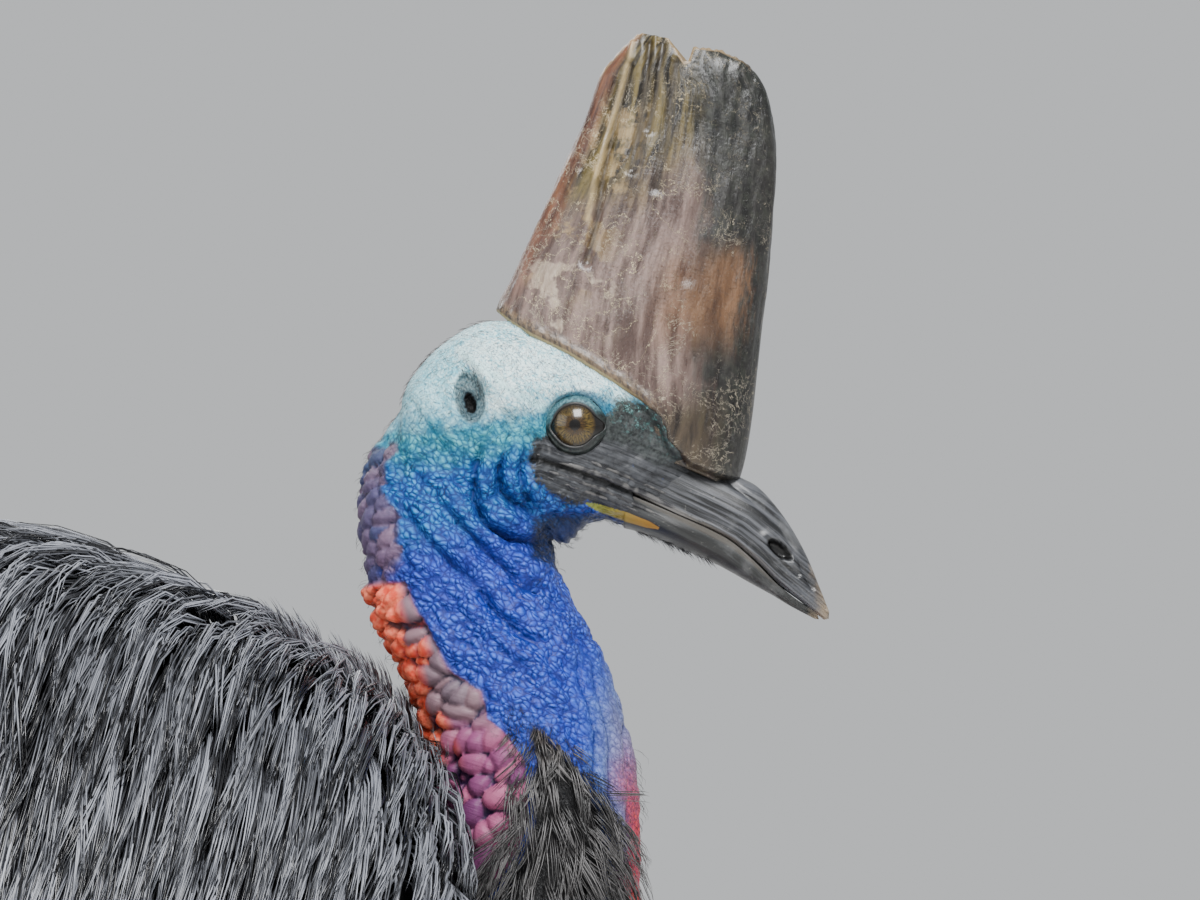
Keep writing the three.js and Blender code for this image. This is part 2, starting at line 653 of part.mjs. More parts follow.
add(bird, "torso", without(body, [rumpSpace(GAP / 2)]), "plumage");
add(bird, "tail", body.intersect(rumpSpace(-GAP / 2)), "plumage");
for (const [name, side] of SIDES) add(bird, "wing_" + name, wing(side, 0), "quill");

// The origin goes under the middle of the whole bird
const box = new THREE.Box3().setFromObject(bird);
bird.position.x = -(box.min.x + box.max.x) / 2;
bird.position.y = -(box.min.y + box.max.y) / 2;
const cassowary = new THREE.Group();
cassowary.add(bird);

export default cassowary;
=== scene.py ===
# %% [markdown]
# # A southern cassowary, life size
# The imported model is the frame: every solid keeps its place, and the pieces below take over what
# they show. All shapes are worked out in millimetres from the centre of the eyes, with X forward,
# Y to the bird's left and Z up, and are moved onto the frame when they are finished.

# %% The frame
import math

import bmesh
import bpy
import numpy as np
from mathutils import Matrix, Vector, noise
from mathutils.bvhtree import BVHTree


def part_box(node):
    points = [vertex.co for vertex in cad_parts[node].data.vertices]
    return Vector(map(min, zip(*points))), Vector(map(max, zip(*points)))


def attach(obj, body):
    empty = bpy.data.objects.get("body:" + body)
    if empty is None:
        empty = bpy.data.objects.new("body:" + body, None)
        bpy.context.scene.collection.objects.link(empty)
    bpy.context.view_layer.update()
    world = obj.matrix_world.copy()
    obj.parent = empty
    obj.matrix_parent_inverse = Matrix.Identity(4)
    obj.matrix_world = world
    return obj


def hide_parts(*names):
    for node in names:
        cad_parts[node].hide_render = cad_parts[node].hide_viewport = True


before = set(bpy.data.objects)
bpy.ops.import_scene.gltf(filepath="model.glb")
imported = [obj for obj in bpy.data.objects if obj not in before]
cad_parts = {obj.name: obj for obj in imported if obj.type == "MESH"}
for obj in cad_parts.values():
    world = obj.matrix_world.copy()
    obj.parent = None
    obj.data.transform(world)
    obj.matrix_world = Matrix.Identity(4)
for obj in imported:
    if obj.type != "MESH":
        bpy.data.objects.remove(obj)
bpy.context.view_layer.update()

right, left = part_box("eye_right"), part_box("eye_left")
EYE = np.array((right[0] + right[1] + left[0] + left[1]) / 4 * 1000)

# %% [markdown]
# ## Stations
# A bird's head, neck and body are smooth tubes of changing section. Each table row is one section:
# its low point x, z, its high point x, z, its half width, and where it is widest. They are the
# same named sizes that the solids were lofted through, so skin and solids share one outline.

# %% Sizes of head, casque, bill and neck
HEAD = [
    [-71, -2, -70, 12, 10, 0.5],
    [-74, -20, -66, 20, 24, 0.5],
    [-68, -36, -55, 32, 31, 0.5],
    [-54, -44, -39, 41.5, 35, 0.5],
    [-35, -49, -23, 41.5, 35.5, 0.52],
    [-14, -46, -9, 36.5, 33.5, 0.54],
    [3, -40, 5, 30, 30.5, 0.56],
    [17, -40, 19, 22.5, 26, 0.54],
    [30, -44, 33, 13, 21.5, 0.5],
    [46, -51, 52, -6, 16, 0.45],
]
NECK = [
    [-70, 8, -15, -18, 27, 0.5],
    [-83, -12, -11, -39, 33, 0.5],
    [-87.5, -35, -9, -52, 34.5, 0.5],
    [-85, -56, -4, -65, 35.5, 0.5],
    [-79, -82, 7, -85, 37, 0.5],
    [-70, -101, 15.5, -104, 38.5, 0.5],
    [-64, -117, 21.5, -121, 40, 0.5],
    [-60, -137, 24.5, -140, 42, 0.5],
    [-59, -165, 26, -165, 44, 0.5],
    [-60, -194, 26, -194, 46, 0.5],
    [-72, -231, 26, -229, 52, 0.48],
    [-100, -272, 25, -268, 62, 0.45],
    [-145, -310, 18, -318, 72, 0.42],
]
CASQUE = [
    [-20, 8, 66, -26, 23, 0.5],
    [-30, 34, 69.5, -14, 25, 0.5],
    [-32.5, 46, 72.5, 4, 24.5, 0.5],
    [-25, 62, 76, 34, 22, 0.5],
    [-14, 85, 79.5, 64, 18.5, 0.5],
    [-4.5, 107, 81.8, 95, 15, 0.5],
    [4, 126, 81.8, 117, 11.5, 0.5],
    [12, 145, 78.5, 135, 9, 0.5],
    [19.5, 154, 71, 147, 7, 0.5],
    [26, 160, 60, 153.5, 4.5, 0.5],
]
BILL_UPPER = [
    [22, -28, 30, 8, 17, 0.05],
    [41, -37, 51, -12, 15, 0.05],
    [54.7, -43.2, 66, -20.5, 13, 0.08],
    [64, -48.2, 75.5, -26, 11.8, 0.1],
    [73.5, -56, 85.7, -38, 10.2, 0.12],
    [83, -65.3, 94, -52.2, 8, 0.15],
    [92, -72, 100, -66.5, 5.4, 0.2],
    [101.6, -79.6, 103.8, -76.3, 2.3, 0.4],
]
BILL_LOWER = [
    [20, -42, 20, -28.5, 17.5, 0.95],
    [38, -45.7, 41, -37.8, 15, 0.95],
    [51, -52.2, 54.7, -43.9, 12.6, 0.95],
    [61.2, -58.4, 64, -49, 10.8, 0.95],
    [70.6, -64, 73.3, -57, 8.8, 0.95],
    [80.4, -69.4, 82.6, -66.4, 6.4, 0.95],
    [88, -74, 90, -72.6, 3.8, 0.95],
    [93.5, -77, 94.5, -76.2, 1.6, 0.8],
]
print(len(HEAD) + len(NECK) + len(CASQUE) + len(BILL_UPPER) + len(BILL_LOWER), "sections")

# %% Sizes of body, wattles and legs
TORSO = [
    [29, -338, 14, -296, 30, 0.5],
    [20, -392, -34, -236, 82, 0.45],
    [-18, -436, -60, -182, 116, 0.42],
    [-80, -472, -64, -134, 138, 0.42],
    [-135, -490, -92, -98, 156, 0.42],
    [-195, -502, -150, -68, 174, 0.42],
    [-275, -508, -235, -42, 190, 0.42],
    [-375, -506, -345, -31, 198, 0.42],
    [-480, -496, -455, -31, 194, 0.42],
    [-590, -480, -565, -50, 178, 0.42],
    [-690, -458, -662, -94, 150, 0.43],
    [-780, -434, -745, -158, 112, 0.45],
    [-846, -408, -815, -236, 68, 0.48],
    [-880, -372, -862, -316, 24, 0.5],
]
WATTLE = [
    [14, -196, 25, -190, 6, 0.5],
    [16, -214, 34, -208, 9, 0.5],
    [18, -250, 41, -248, 10, 0.5],
    [18, -290, 44, -290, 11.5, 0.5],
    [20, -322, 43, -324, 12, 0.5],
    [25, -346, 38, -347, 8, 0.5],
]
SHANK = [
    [-28, 16, 26, 18, 20, 0.5],
    [-26, 52, 24, 56, 22, 0.5],
    [-24, 76, 19, 80, 20, 0.5],
    [-26, 120, 13, 122, 16.5, 0.5],
    [-34, 210, 3, 212, 15.5, 0.5],
    [-46, 300, -6, 303, 17, 0.5],
    [-60, 342, -8, 354, 22, 0.5],
    [-73, 374, -10, 394, 26.5, 0.5],
    [-66, 412, -5, 424, 25, 0.5],
    [-54, 446, 6, 440, 23, 0.5],
    [-44, 486, 22, 470, 25, 0.5],
]
THIGH = [
    [-62, 434, 10, 426, 33, 0.5],
    [-70, 466, 28, 448, 42, 0.5],
    [-77, 520, 54, 480, 54, 0.5],
    [-78, 580, 86, 526, 66, 0.5],
    [-66, 650, 112, 592, 74, 0.5],
    [-40, 710, 116, 660, 66, 0.5],
    [0, 740, 90, 716, 30, 0.5],
]
TOES = {  # turn outwards, [distance, top, half width] stations, claw length and radius
    "middle": (2, [[-30, 16, 12], [0, 50, 21], [34, 37, 17.5], [70, 30, 16], [104, 26, 14], [124, 20, 10]],
               (44, 8.5)),
    "outer": (33, [[-6, 30, 14], [14, 42, 17], [40, 31, 15], [66, 27, 13.5], [86, 23, 12], [100, 18, 9]],
              (34, 7.5)),
    "inner": (-25, [[-6, 30, 14], [14, 40, 16], [36, 30, 14.5], [56, 27, 13], [68, 23, 11], [76, 19, 9]],
              (104, 8)),
}
EYE_HEIGHT = 1010
FOOT_SIDE = 92
FOOT_FORWARD = {"right": -372, "left": -424}
SIDES = (("right", -1), ("left", 1))
COAT = 17  # how far the coat stands out from the skin
print(len(TORSO), "sections of the body,", len(TOES), "toes a foot")


# %% [markdown]
# ## A form to build on
# A form gives the point at any share along it and any turn round it. Skin is a grid rolled round
# a form, and feathers are walked over the same form, so both always agree.

# %% Easing and forms
def ease(low, high, x):
    """0 below low, 1 above high, and a smooth rise between; low may be the larger."""
    t = np.clip((x - low) / (high - low), 0, 1)
    return t * t * (3 - 2 * t)


def bell(far, half):
    """1 at no distance, falling away smoothly within about a half width."""
    return np.exp(-((far / half) ** 2))


class Form:
    def __init__(self, table, grow=0.0, roundness=1.0, side=0.0):
        self.table = np.array(table, float)
        self.grow, self.roundness, self.side = grow, roundness, side
        self.outward = 1.0
        spot, _, _, normal = self.frame(np.array([0.5]), np.array([0.7]))
        middle = (self.at(np.array([0.5]), np.array([0.0])) + self.at(np.array([0.5]), np.array([np.pi]))) / 2
        self.outward = float(np.sign(((spot - middle) * normal).sum()))

    def section(self, share):
        last = len(self.table) - 1
        x = np.clip(share, 0, 1) * last
        i = np.minimum(x.astype(int), last - 1)
        p = (x - i)[:, None]
        before, after = np.where(i > 0, i - 1, i + 1), np.where(i < last - 1, i + 2, i)
        wb, wa = np.where(i > 0, 0.5, -0.5)[:, None], np.where(i < last - 1, 0.5, -0.5)[:, None]
        row = self.table
        return (
            row[before] * (-wb * p**3 + 2 * wb * p**2 - wb * p)
            + row[i] * ((1 + wb) * p**3 + (-1.5 - 2 * wb) * p**2 + (-0.5 + wb) * p + 1)
            + row[i + 1] * ((-1 - wa) * p**3 + (1.5 + wa) * p**2 + 0.5 * p)
            + row[after] * (wa * p**3 - wa * p**2)
        )

    def at(self, share, turn):
        share, turn = np.broadcast_arrays(np.asarray(share, float), np.asarray(turn, float))
        shape = share.shape
        share, turn = share.ravel(), turn.ravel()
        ax, az, bx, bz, wide, widest = self.section(share).T
        grow = self.grow(share) if callable(self.grow) else self.grow
        c, d = np.cos(turn), np.sin(turn)
        up = np.sign(c) * np.abs(c) ** self.roundness
        out = np.sign(d) * np.abs(d) ** self.roundness
        push = np.maximum(grow / np.hypot(bx - ax, bz - az), -0.42)
        along = widest + np.where(up > 0, (1 - widest) * up, widest * up) + push * up
        reach = np.maximum(wide + grow, 0.15 * wide)
        spots = np.stack([ax + (bx - ax) * along, self.side + reach * out, az + (bz - az) * along], 1)
        return spots.reshape(shape + (3,))

    def frame(self, share, turn, step=0.004):
        spot = self.at(share, turn)
        along = (self.at(share + step, turn) - self.at(share - step, turn)) / (2 * step)
        round_ = (self.at(share, turn + step) - self.at(share, turn - step)) / (2 * step)
        normal = np.cross(along, round_)
        normal /= np.linalg.norm(normal, axis=-1, keepdims=True) + 1e-9
        return spot, along, round_, normal * self.outward

    def walk(self, share, turn, heading, length, steps):
        """Steps over the surface along a heading; gives every spot and its normal."""
        spots, normals = [], []
        for _ in range(steps + 1):
            spot, along, round_, normal = self.frame(share, turn)
            way = heading(spot, share, turn)
            way -= np.sum(way * normal, -1, keepdims=True) * normal
            way /= np.linalg.norm(way, axis=-1, keepdims=True) + 1e-9
            spots.append(spot)
            normals.append(normal)
            aa, ar, rr = (np.sum(p * q, -1) for p, q in ((along, along), (along, round_), (round_, round_)))
            wa, wr = np.sum(way * along, -1), np.sum(way * round_, -1)
            scale = length / steps / np.maximum(aa * rr - ar * ar, 1e-6)
            share = np.clip(share + scale * (wa * rr - wr * ar), 0.004, 0.996)
            turn = turn + scale * (wr * aa - wa * ar)
        return np.stack(spots, 1), np.stack(normals, 1)


print("neck at its middle", Form(NECK).at(np.array([0.5]), np.array([0.0])).round(1))


# %% [markdown]
# ## From grids to meshes
# A bmesh grid is rolled round the form, its seam is welded and its two ends are drawn in to
# points, which closes it. The helper takes a shaping function for relief in the form's own terms.

# %% Rolling a grid
def sheet_of(columns, rows):
    """A flat bmesh grid of faces, with every point's share across and up."""
    grid = bmesh.new()
    bmesh.ops.create_grid(grid, x_segments=columns, y_segments=rows, size=0.5)
    return grid, np.array([vert.co for vert in grid.verts])[:, :2] + 0.5


def welded(grid, spots):
    """The grid with its points moved, its touching points merged and its faces turned outwards."""
    for vert, spot in zip(grid.verts, spots):
        vert.co = spot
    bmesh.ops.remove_doubles(grid, verts=grid.verts, dist=1e-4)
    bmesh.ops.dissolve_degenerate(grid, edges=grid.edges, dist=1e-5)
    bmesh.ops.recalc_face_normals(grid, faces=grid.faces)
    return grid


def rolled(form, columns, rows, dome=0.0, shaping=None):
    """A form's closed surface; shaping may move its spots and note values on them."""
    grid, flat = sheet_of(columns, rows)
    row = np.rint(flat[:, 1] * rows)
    share, turn = np.clip((row - 1) / (rows - 2), 0, 1), 2 * np.pi * flat[:, 0]
    spots, _, _, normals = form.frame(share, turn)
    noted = {}
    if shaping:
        spots = shaping(spots, normals, share, turn, noted)
    for end, near in ((0.0, 0.01), (1.0, 0.99)):
        tip, inner = (form.at(np.array([s, s]), np.array([0, np.pi])).mean(0) for s in (end, near))
        away = (tip - inner) / (np.linalg.norm(tip - inner) + 1e-9)
        spots[row == end * rows] = tip + away * dome
    for name, values in noted.items():
        layer = grid.verts.layers.float.new(name)
        for vert, value in zip(grid.verts, values):
            vert[layer] = value
    return welded(grid, spots)


def placed(name, data):
    """An object of the scene that shows a mesh, a lamp or a lens."""
    obj = bpy.data.objects.new(name, data)
    bpy.context.scene.collection.objects.link(obj)
    return obj


def as_mesh(name, grids):
    """One mesh of one or more bmeshes, which are freed."""
    mesh = bpy.data.meshes.new(name)
    whole = bmesh.new()
    for grid in grids:
        grid.to_mesh(mesh)
        whole.from_mesh(mesh)
        grid.free()
    whole.to_mesh(mesh)
    whole.free()
    return mesh


def spots_of(mesh):
    spots = np.empty(len(mesh.vertices) * 3, np.float32)
    mesh.vertices.foreach_get("co", spots)
    return spots.reshape(-1, 3).astype(float)


def normals_of(mesh):
    normals = np.empty(len(mesh.vertices) * 3, np.float32)
    mesh.vertex_normals.foreach_get("vector", normals)
    return normals.reshape(-1, 3).astype(float)


def move_spots(mesh, spots):
    mesh.vertices.foreach_set("co", spots.astype(np.float32).ravel())
    mesh.update()


def note(mesh, name, values):
    layer = mesh.attributes.new(name, "FLOAT", "POINT")
    layer.data.foreach_set("value", np.asarray(values, np.float32))


def piece(name, mesh, finish, slot, *nodes, origin=EYE):
    """Moves a mesh of millimetres onto the frame and makes it a piece."""
    move_spots(mesh, (spots_of(mesh) + origin) / 1000)
    mesh.polygons.foreach_set("use_smooth", np.ones(len(mesh.polygons), bool))
    mesh.materials.clear()
    mesh.materials.append(finish)
    obj = placed(name, mesh)
    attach(obj, "root")
    if nodes:
        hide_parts(*nodes)
    mesh.calc_loop_triangles()
    print(name, len(mesh.loop_triangles), "triangles")
    return obj


# %% [markdown]
# ## Finishes
# A finish is a material whose patterns are sums written in Python. `Dial` wraps one socket, and
# `Finish.node` makes any node from its settings and inputs. Patterns are laid out in millimetres
# from the eyes, as the shapes are.

# %% The shader words
def tint(red, green, blue):
    """A colour as seen, 0 to 255, turned into the light it stands for."""
    light = [((c / 255 + 0.055) / 1.055) ** 2.4 if c > 10 else c / 3294.6 for c in (red, green, blue)]
    return (*light, 1)


class Dial:
    """A number, or a colour, that changes over a surface."""

    def __init__(self, finish, socket):
        self.finish, self.socket = finish, socket

    def maths(self, operation, *values):
        return self.finish.node("ShaderNodeMath", {"operation": operation}, dict(enumerate(values)))

    def __add__(self, other):
        return self.maths("ADD", self, other)

    def __radd__(self, other):
        return self.maths("ADD", other, self)

    def __sub__(self, other):
        return self.maths("SUBTRACT", self, other)

    def __rsub__(self, other):
        return self.maths("SUBTRACT", other, self)

    def __mul__(self, other):
        return self.maths("MULTIPLY", self, other)

    def __rmul__(self, other):
        return self.maths("MULTIPLY", other, self)

    def __pow__(self, other):
        return self.maths("POWER", self, other)

    def __abs__(self):
        return self.maths("ABSOLUTE", self)

    def or_more(self, other):
        return self.maths("MAXIMUM", self, other)

    def between(self, low, high, start=0.0, end=1.0):
        """Rises smoothly from start to end while this goes from low to high."""
        return self.finish.node(
            "ShaderNodeMapRange", {"interpolation_type": "SMOOTHSTEP"},
            {"Value": self, "From Min": low, "From Max": high, "To Min": start, "To Max": end},
        )

    def tones(self, low, high, first, second):
        """Goes from the first colour to the second while this goes from low to high."""
        return self.finish.blend(self.between(low, high), tint(*first), tint(*second))


class Finish:
    """A material in the making: patterns in millimetres from the eyes, and one shader."""

    def __init__(self, name, **constants):
        self.material = bpy.data.materials.new(name)
        self.material.use_nodes = True
        self.tree = self.material.node_tree
        self.shader = self.tree.nodes["Principled BSDF"]
        for socket, value in constants.items():
            self.shader.inputs[socket.replace("_", " ")].default_value = value
        place = self.node("ShaderNodeTexCoord", out="Object")
        settings = {"operation": "MULTIPLY_ADD"}
        self.here = self.node("ShaderNodeVectorMath", settings, {0: place, 1: (1000,) * 3, 2: tuple(-EYE)})
        self.x, self.y, self.z = (self.node("ShaderNodeSeparateXYZ", {}, {0: self.here},
                                            out=axis) for axis in "XYZ")

    def node(self, kind, settings=None, inputs=None, out=0):
        made = self.tree.nodes.new(kind)
        for name, value in (settings or {}).items():
            setattr(made, name, value)
        for name, value in (inputs or {}).items():
            if isinstance(value, Dial):
                self.tree.links.new(value.socket, made.inputs[name])
            else:
                made.inputs[name].default_value = value
        return Dial(self, made.outputs[out])

    def noted(self, name):
        return self.node("ShaderNodeAttribute", {"attribute_name": name}, out="Fac")

    def grain(self, scale, detail=3.0, rough=0.55, seed=0.0, place=None, **others):
        """Noise, 0 to 1; a seed shifts it elsewhere."""
        if seed:
            place = self.stretched((1, 1, 1), seed)
        inputs = {"Vector": place or self.here, "Scale": scale, "Detail": detail, "Roughness": rough}
        return self.node("ShaderNodeTexNoise", {}, inputs | others)

    def stretched(self, stretch, seed=0.0, turn=(0, 0, 0)):
        inputs = {"Vector": self.here, "Location": (seed, seed, seed), "Rotation": turn, "Scale": stretch}
        return self.node("ShaderNodeMapping", {"vector_type": "TEXTURE"}, inputs)

    def cells(self, scale, feature="F1", place=None, **others):
        """The distance to a cell's middle, or to its edge, in cells of 1/scale mm."""
        inputs = {"Vector": place or self.here, "Scale": scale} | others
        return self.node("ShaderNodeTexVoronoi", {"feature": feature}, inputs, out="Distance")

    def blend(self, amount, first, second, how="MIX"):
        """The second colour over the first by an amount; sockets 6, 7 and 2 are a Mix node's colours."""
        settings = {"data_type": "RGBA", "blend_type": how}
        return self.node("ShaderNodeMix", settings, {0: amount, 6: first, 7: second}, out=2)

    def finish(self, colour=None, roughness=None, height=None, depth=0.0005, strength=0.5):
        for socket, value in (("Base Color", colour), ("Roughness", roughness)):
            if isinstance(value, Dial):
                self.tree.links.new(value.socket, self.shader.inputs[socket])
            elif value is not None:
                self.shader.inputs[socket].default_value = value
        if height is not None:
            bump = self.node("ShaderNodeBump", {},
                             {"Strength": strength, "Distance": depth, "Height": height})
            self.tree.links.new(bump.socket, self.shader.inputs["Normal"])
        return self.material


print("finishes can be mixed")

# %% [markdown]
# ## The skin
# Head, neck, body and thighs of a bird share one skin. Lofts overlap, and a voxel remesh melts the
# head and the neck into one even sheet of small faces, which can carry folds and granules as real
# shape. The body under the coat is only hinted at, so it stays coarse and is joined by a Boolean.

# %% Voxel flesh
def finished(obj, *helpers):
    """The mesh that an object's modifiers make; the object and its helpers go."""
    made = bpy.data.meshes.new_from_object(obj.evaluated_get(bpy.context.evaluated_depsgraph_get()))
    for used in (obj,) + helpers:
        bpy.data.objects.remove(used)
    return made


def melted(name, grids, voxel, smoothing):
    """Overlapping grids as one even sheet of small faces."""
    obj = placed(name, as_mesh(name, grids))
    remesh = obj.modifiers.new("melt", "REMESH")
    remesh.mode, remesh.voxel_size, remesh.adaptivity = "VOXEL", voxel, 0.0
    relax = obj.modifiers.new("relax", "SMOOTH")
    relax.factor, relax.iterations = 0.5, smoothing
    return finished(obj)


def joined(name, *meshes):
    """One closed shell round all the meshes, with no wall left inside."""
    first, *others = [placed(name, mesh) for mesh in meshes]
    for other in others:
        cut = first.modifiers.new("join", "BOOLEAN")
        cut.operation, cut.solver, cut.object = "UNION", "MANIFOLD", other
    return finished(first, *others)


head_form = Form(HEAD, roundness=0.82)
neck_form = Form(NECK, roundness=0.95)
flesh = melted("flesh", [rolled(head_form, 90, 90, 6), rolled(neck_form, 90, 120, 10)], 1.06, 4)
print("head and neck", len(flesh.polygons), "faces")

# %% Body skin under the coat
NECK_END = -222
core = Form(TORSO, -COAT)
thigh_forms = {
    name: Form(np.array(THIGH) + np.array([FOOT_FORWARD[name], -EYE_HEIGHT] * 2 + [0, 0]), -8,
               side=side * FOOT_SIDE)
    for name, side in SIDES
}
sheet = bmesh.new()
sheet.from_mesh(flesh)
whole = sheet.verts[:] + sheet.edges[:] + sheet.faces[:]
bmesh.ops.bisect_plane(sheet, geom=whole, plane_co=(0, 0, NECK_END), plane_no=(0.28, 0, 1), clear_inner=True)
rim = [edge for edge in sheet.edges if edge.is_boundary]
for depth, back in ((22, 8), (30, 16), (40, 30)):
    fresh = bmesh.ops.extrude_edge_only(sheet, edges=rim)["geom"]
    moved = [part for part in fresh if isinstance(part, bmesh.types.BMVert)]
    bmesh.ops.translate(sheet, verts=moved, vec=(-back, 0, -depth))
    rim = [part for part in fresh if isinstance(part, bmesh.types.BMEdge)]
bmesh.ops.holes_fill(sheet, edges=rim, sides=0)
bmesh.ops.triangulate(sheet, faces=[face for face in sheet.faces if len(face.verts) > 4])
bmesh.ops.recalc_face_normals(sheet, faces=sheet.faces)
sheet.to_mesh(flesh)
sheet.free()
body = as_mesh("body", [rolled(core, 40, 30, 6)])
thighs = [as_mesh("thigh", [rolled(form, 20, 16, 3)]) for form in thigh_forms.values()]
skin = joined("skin", flesh, body, *thighs)
print("skin", len(skin.polygons), "faces, lowest", spots_of(skin)[:, 2].min().round(1))

# %% [markdown]
# ## Cells and strokes
# Granules, rolls and bulbs are packed like pebbles: cells round scattered seeds. Creases follow
# lines drawn on the side of the head. Both are plain distances, so they can move points of the
# mesh and also tell a finish where it is.

# %% Distances
def scatter(cell, seed):
    """A repeatable random number, 0 to 1, for every whole cell."""
    mixed = np.sin(cell @ np.array([127.1, 311.7, 74.7][: cell.shape[-1]]) + seed * 17.13) * 43758.5453
    return mixed - np.floor(mixed)


def pebbles(places, seed=1):
    """For each place: the distance to its own seed, the distance to the border, its cell's number."""
    base, size = np.floor(places), places.shape[1]
    steps = np.stack(np.meshgrid(*[[-1, 0, 1]] * size, indexing="ij"), -1).reshape(-1, size)
    first = np.full(len(places), 9.0)
    second, number = first.copy(), first.copy()
    for step in steps:
        cell = base + step
        spot = cell + np.stack([0.5 + 0.8 * (scatter(cell, seed + k) - 0.5) for k in range(size)], 1)
        far = np.linalg.norm(spot - places, axis=1)
        nearer = far < first
        second = np.where(nearer, first, np.minimum(second, far))
        number = np.where(nearer, scatter(cell, seed + 9), number)
        first = np.minimum(first, far)
    return first, second - first, number


def stroke(places, line):
    """The distance of side-view places from a line of points, and the share along it."""
    line = np.array(line, float)
    best, share = np.full(len(places), 1e3), np.zeros(len(places))
    for i, (a, b) in enumerate(zip(line[:-1], line[1:])):
        way = b - a
        t = np.clip(((places - a) @ way) / (way @ way), 0, 1)
        far = np.linalg.norm(places - a - t[:, None] * way, axis=1)
        share = np.where(far < best, (i + t) / (len(line) - 1), share)
        best = np.minimum(best, far)
    return best, share


def inside(places, outline, soft=3.0):
    """1 inside a closed outline in side view, 0 outside it, with a soft border."""
    loop = outline + outline[:1]
    far, _ = stroke(places, loop)
    x, z = places.T
    odd = np.zeros(len(places), bool)
    for (ax, az), (bx, bz) in zip(loop[:-1], loop[1:]):
        odd ^= ((az > z) != (bz > z)) & (x < (bx - ax) * (z - az) / (bz - az + 1e-9) + ax)
    return ease(-soft, soft, np.where(odd, far, -far))


print("one granule in ten:", pebbles(np.random.default_rng(1).random((10, 2)) * 9)[2].round(2))

# %% [markdown]
# ## Folds, granules and bulbs of the skin
# The bird's naked skin hangs in folds: two rolls round the jaw, ropes of folds down the throat,
# braided rolls on the nape, and below them bright bulbs. All of it is pushed out of the remeshed
# skin along its normals, large forms first and small ones last.

# %% Where each point of the neck lies
NECK_LONG = 395
spots = spots_of(skin)
normals = normals_of(skin)
x, y, z = spots.T
side_on = ease(0.25, 0.7, np.abs(normals[:, 1]))
seen = spots[:, [0, 2]]
shares = np.linspace(0, 1, 260)
axis = (neck_form.at(shares, shares * 0) + neck_form.at(shares, shares * 0 + np.pi)) / 2
nearest = np.array([np.argmin(((seen_part[:, None] - axis[None, :, [0, 2]]) ** 2).sum(-1), 1)
                    for seen_part in np.array_split(seen, 400)], dtype=object)
nearest = np.concatenate([part.astype(int) for part in nearest])
neck_share = shares[nearest]
front = axis[nearest]
high = neck_form.at(neck_share, neck_share * 0)
ahead = (high - front)[:, [0, 2]]
ahead /= np.linalg.norm(ahead, axis=1, keepdims=True)
neck_turn = np.arctan2(np.abs(y), ((seen - front[:, [0, 2]]) * ahead).sum(1))  # 0 front, pi nape
down = neck_share * NECK_LONG
on_neck = ease(4, -14, z) * ease(-345, -330, z)
print("neck turns", neck_turn.min().round(2), "to", neck_turn.max().round(2))

# %% Large forms of the skin
UNDER_TONGUE = [[-58, -208], [-36, -194], [-23, -177], [-17, -160], [-18, -147], [-16, -136], [-19, -126],
                [-17, -120], [-6, -131], [4, -143], [11, -156], [13, -170], [12, -200], [14, -400], [-99,
                                                                                                     -400],
                [-70, -215]]
coated = inside(seen, UNDER_TONGUE, 5) * ease(0.35, 0.7, np.abs(normals[:, 1]))
half_deep = np.linalg.norm((high - front)[:, [0, 2]], axis=1)
half_wide = neck_form.section(neck_share)[:, 4]
off_neck = np.hypot(np.linalg.norm(seen - front[:, [0, 2]], axis=1) / half_deep, y / half_wide)
body_skin = np.maximum(coated, ease(1.1, 1.2, off_neck) * ease(-75, -90, z))
body_skin = np.maximum(body_skin, ease(-96, -104, x))
body_skin = np.maximum(body_skin, ease(-300, -330, z))
bare = 1 - body_skin
lift = np.zeros(len(spots))
# how strongly each point's colour gets painted shade: creases, valleys of folds and rolls, the ear hole, bulb
# borders
hollow_shade = np.zeros(len(spots))
FOLDS = [  # line, height, half width: rolls stand out
    ([[-32, -8], [-36, -20], [-36, -30], [-30.5, -37], [-22, -40.5], [-12, -42]], 4.4, 3.2),
    ([[-23, -6], [-26.5, -16], [-26, -28]], 3.0, 2.4),
    ([[-17.5, -19], [-19, -25], [-14, -31]], 2.8, 2.6),
    ([[-62, -14], [-52, -27], [-41, -39], [-29.4, -52], [-14, -60], [-4, -62]], 3.0, 3.2),
    ([[-66, -30], [-52, -47], [-38, -62], [-20, -78], [-8, -92]], 2.4, 3.2),
    ([[-22, -67.3], [-12, -75], [-4, -88], [4, -98]], 3.4, 2.8),
    ([[-46, -68], [-34, -82], [-18, -95], [-6, -112]], 2.4, 3.0),
    ([[-42, 33], [-36, 22], [-29, 12], [-20, 3]], 3.2, 3.2),
    ([[-70, 22], [-60, 8], [-50, -4], [-44, -16]], 1.6, 3.2),
]
CREASES = [
    ([[-18.8, -2.4], [-11.4, -8.2], [-14.5, -12], [-17.6, -15.5]], 2.2, 1.3),
    ([[-36, -6], [-40.5, -18], [-40.5, -30], [-35, -40], [-24, -45.5], [-10, -48]], 4.4, 1.6),
    ([[-28.5, -8], [-31, -20], [-30.5, -29], [-26, -34], [-17, -37]], 3.6, 1.3),
    ([[-20.5, -8], [-22.5, -18], [-21.5, -27]], 3.0, 1.2),
    ([[-20.5, -27], [-18.5, -33]], 5.0, 2.4),
    ([[-5.3, -77.5], [0, -86], [5, -95]], 2.8, 1.4),
    ([[-56, -28], [-45, -41], [-33, -54], [-20, -65], [-8, -72]], 3.0, 1.4),
    ([[-62, -44], [-46, -60], [-30, -75], [-14, -90]], 2.6, 1.4),
    ([[-12, -36], [-4, -39.5], [6, -37]], 2.4, 1.8),
]
